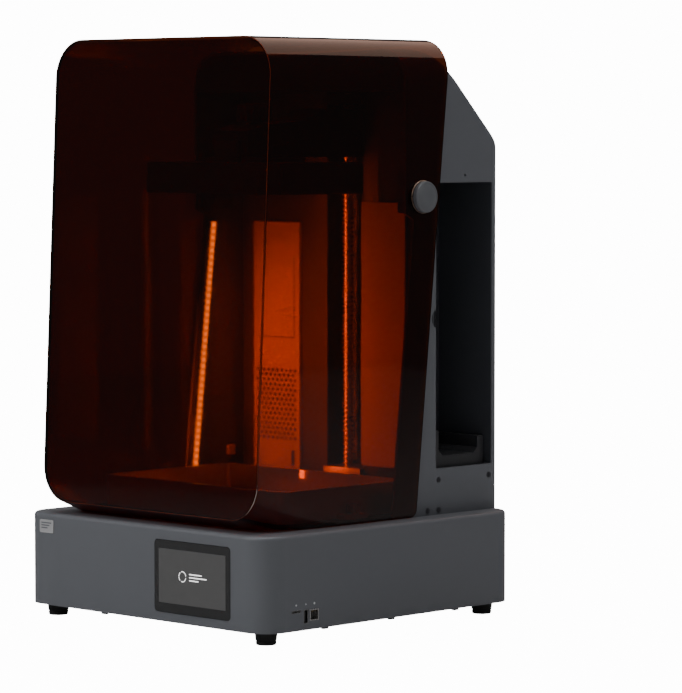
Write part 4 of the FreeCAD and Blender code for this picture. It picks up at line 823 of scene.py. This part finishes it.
def make_light_strip():
    """The lit resin fill behind the lamp's beads, in one short block for each bead."""
    low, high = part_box("light_bar_beads")
    near, far = high.x - 0.95 * MM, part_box("light_bar")[1].x - 0.5 * MM
    inset = 1.8 * MM
    start = Vector((0, low.y + inset, low.z + inset))
    end = Vector((0, high.y - inset, high.z - inset))
    wide, tall = 3.6 * MM, 3.62 * MM
    count = 39
    work = bmesh.new()
    for i in range(count):
        middle = start.lerp(end, i / (count - 1))
        add_plate(work, (middle.y - wide, middle.z - tall), (middle.y + wide, middle.z + tall),
                  0.6 * MM, near, far, plane="YZ", steps=2)
    settle(to_item("light_fill", work), FILL_GLOW, "base", "bead_yellow")


def make_side_plate():
    """The pale plate on the wall in front of the bottle bay, and a small pad on the left cheek."""
    low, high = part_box("bay_front_panel")
    foot, head = 0.158, 0.442
    work = bmesh.new()
    add_plate(work, (low.x + 19 * MM, foot), (high.x - 38 * MM, head), 2 * MM,
              low.y - 1.6 * MM, low.y, edge=0.5 * MM)
    settle(to_item("side_plate", work), SIDE_ENAMEL, "base", "panel_grey")
    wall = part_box("light_bar")[0].x
    pad_low, pad_high = (0.086, 0.156), (0.098, 0.167)
    work = bmesh.new()
    add_plate(work, pad_low, pad_high, 1.5 * MM, wall + 2.5 * MM, wall, plane="YZ",
              edge=0.6 * MM)
    settle(to_item("cheek_pad", work), SIDE_ENAMEL, "base", "panel_grey")


# ---------------------------------------------------------------- column and rear details

def socket_screw():
    """A small button-headed screw with a hexagonal socket, facing +Z, to repeat."""
    work = bmesh.new()
    profile = [(3.0 * MM, 0), (2.95 * MM, 0.18 * MM), (2.5 * MM, 0.36 * MM), (1.4 * MM, 0.4 * MM)]
    count, sixth = 24, math.pi / 3
    rings = [circle("Z", (0, 0, 0), radius, count, place) for radius, place in profile]
    for place in (0.4 * MM, 0.05 * MM):
        ring = []
        for i in range(count):
            angle = i * math.tau / count
            flat = math.cos(sixth / 2) / math.cos((angle + sixth / 2) % sixth - sixth / 2)
            ring.append(along("Z", (0, 0, 0), 1.35 * MM * flat, place, angle))
        rings.append(ring)
    add_ring_stack(work, rings)
    return to_item("pattern", work)


def make_column_screws():
    """Socket screws at the foot of both cheeks, and four that hold the rear cover."""
    low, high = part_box("column_screws")
    head = 0.4 * MM
    places = [(77, 5), (94, 5), (94, 37), (173, 37)]
    for side, wall, turn in (("right", high.x - head, math.pi / 2),
                             ("left", low.x + head, -math.pi / 2)):
        points = [(wall, y * MM, CASE_TOP + z * MM) for y, z in places]
        heads = repeated(f"cheek_screws_{side}", socket_screw(), points, DARK_STEEL, (0, turn, 0))
        settle(heads, None, "base", "steel")
    low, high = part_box("rear_cover")
    reach = 12.8 * MM
    points = [(x, high.y - head, z) for x in (low.x + reach, high.x - reach)
              for z in (low.z + reach, high.z - reach)]
    heads = repeated("rear_cover_screws", socket_screw(), points, DARK_STEEL,
                     (-math.pi / 2, 0, 0))
    settle(heads, None, "base", "steel")


def make_fan_guard():
    """A wire guard behind the rear slots: three rings on two crossed wires."""
    low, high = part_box("cooling_fan_frame")
    centre = ((low.x + high.x) / 2, high.y - 0.8 * MM, (low.z + high.z) / 2)
    work = bmesh.new()
    for radius in (12, 22, 32):
        add_tube(work, circle("Y", centre, radius * MM, 40), 0.6 * MM, 6)
    for turn in (math.pi / 4, 3 * math.pi / 4):
        ends = [along("Y", centre, 37 * MM, 0, angle) for angle in (turn, turn + math.pi)]
        add_tube(work, ends, 0.6 * MM, 6, looped=False)
    settle(to_item("fan_guard", work), BRIGHT_STEEL, "base", "steel")


def make_rocker_marks():
    """The rocker's on and off marks: a bar and a ring."""
    low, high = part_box("power_rocker")
    mid_x, mid_z = (low.x + high.x) / 2, (low.z + high.z) / 2
    work = bmesh.new()
    tilt = Matrix.Rotation(math.radians(-8), 4, "X")
    hinge = Vector((mid_x, 0.182, 0.074))
    face = hinge.y + 3.78 * MM
    off_centre = (mid_x, face + 0.1 * MM, mid_z + 2.3 * MM)
    add_tube(work, circle("Y", off_centre, 0.9 * MM, 16), 0.15 * MM, 5)
    add_plate(work, (mid_x - 1 * MM, mid_z - 2.5 * MM), (mid_x + 1 * MM, mid_z - 2.1 * MM),
              0.1 * MM, face + 0.15 * MM, face - 0.2 * MM, steps=2)
    for vert in work.verts:
        vert.co = hinge + tilt @ (vert.co - hinge)
    settle(to_item("rocker_marks", work), MARK_WHITE, "rocker", "badge_light")


def make_pivot_caps():
    """Domed caps over the hood's pivots, each with a turned groove, and behind it a pale ring on
    the clear rim, coloured as a painted glint.
    """
    low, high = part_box("pivot_caps")
    middle_y, middle_z = (low.y + high.y) / 2, (low.z + high.z) / 2
    work = bmesh.new()
    thick = 5.5 * MM
    for side in (-1, 1):
        inner = high.x - thick if side > 0 else low.x + thick
        profile = [(15.9 * MM, 0), (16.5 * MM, side * 0.4 * MM), (16.5 * MM, side * 4.1 * MM),
                   (16.1 * MM, side * 4.9 * MM), (15.2 * MM, side * 5.3 * MM),
                   (13.9 * MM, side * 5.36 * MM), (13.6 * MM, side * 5.26 * MM),
                   (13.3 * MM, side * 5.4 * MM), (6 * MM, side * 5.48 * MM),
                   (1 * MM, side * 5.5 * MM)]
        add_turned(work, profile, (inner, middle_y, middle_z), axis="X", count=72)
    settle(to_item("cap_domes", work), CAP_PLASTIC, "hood", "cap_grey", "pivot_caps")
    # pale rings behind the caps: a painted glint
    work = bmesh.new()
    for side in (-1, 1):
        wall = high.x - thick - 0.9 * MM if side > 0 else low.x + thick + 0.9 * MM
        add_tube(work, circle("X", (wall, middle_y, middle_z), 16.95 * MM, 72), 0.5 * MM, 8)
    settle(to_item("cap_glint_rings", work), RING_GLINT_PAINT, "hood", "clear_amber")


def make_vat_marks():
    """A raised lip round the vat and filling ticks on its rear inner wall."""
    low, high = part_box("vat_frame")
    work = bmesh.new()
    tab = 15 * MM
    start, rear = high.x - tab - 36 * MM, high.y - 6.15 * MM
    for step in range(5):
        z = low.z + (9 + 4.5 * step) * MM
        wide = (9 if step % 2 == 0 else 5) * MM
        add_plate(work, (start - wide, z), (start, z + 0.6 * MM), 0.2 * MM,
                  rear, rear + 0.4 * MM, steps=2)
    settle(to_item("vat_ticks", work), MARK_WHITE, "vat", "badge_light")
    lip = high.z - 0.75 * MM
    inset = 1.2 * MM
    outline = rounded_outline((low.x + tab + inset, low.y + inset),
                              (high.x - tab - inset, high.y - inset), 13 * MM, 10)
    work = bmesh.new()
    add_tube(work, [(x, y, lip) for x, y in outline], 0.7 * MM, 8)
    settle(to_item("vat_lip", work), BRIGHT_STEEL, "vat", "aluminium")


def make_arm_bolts():
    """Four socket screws on top of the arm."""
    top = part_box("z_arm")[1].z - 0.02 * MM
    rows = (0.060, 0.078)
    points = [(side * 19 * MM, y, top) for side in (-1, 1) for y in rows]
    heads = repeated("arm_bolts", socket_screw(), points, BRIGHT_STEEL, (0, 0, 0))
    settle(heads, None, "arm", "steel")


def make_bay_lip():
    """A thin raised lip round the mouth of the bottle bay, with softly turned corners."""
    low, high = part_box("bay_liner")
    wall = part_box("column_shell")[1].x
    inset = 2.4 * MM
    outline = rounded_outline((low.y + inset, low.z + inset), (high.y - inset, high.z - inset),
                              2.5 * MM, 8)
    work = bmesh.new()
    add_tube(work, [(wall - 0.75 * MM, y, z) for y, z in outline], 0.7 * MM, 8)
    settle(to_item("bay_lip", work), CASE_PAINT, "base", "case_grey")


# ---------------------------------------------------------------- the whole scene

place_camera()
light_studio()
lay_floor()
paint_nodes()
make_screen()
make_badge()
make_feet()
make_ports()
make_case_clips()
make_screw_thread()
make_rail_screws()
make_clamp_knob()
make_vat_knobs()
make_filter_cover()
make_hood_highlight_rim()
make_light_strip()
make_side_plate()
make_column_screws()
make_fan_guard()
make_rocker_marks()
make_pivot_caps()
make_vat_marks()
make_arm_bolts()
make_bay_lip()
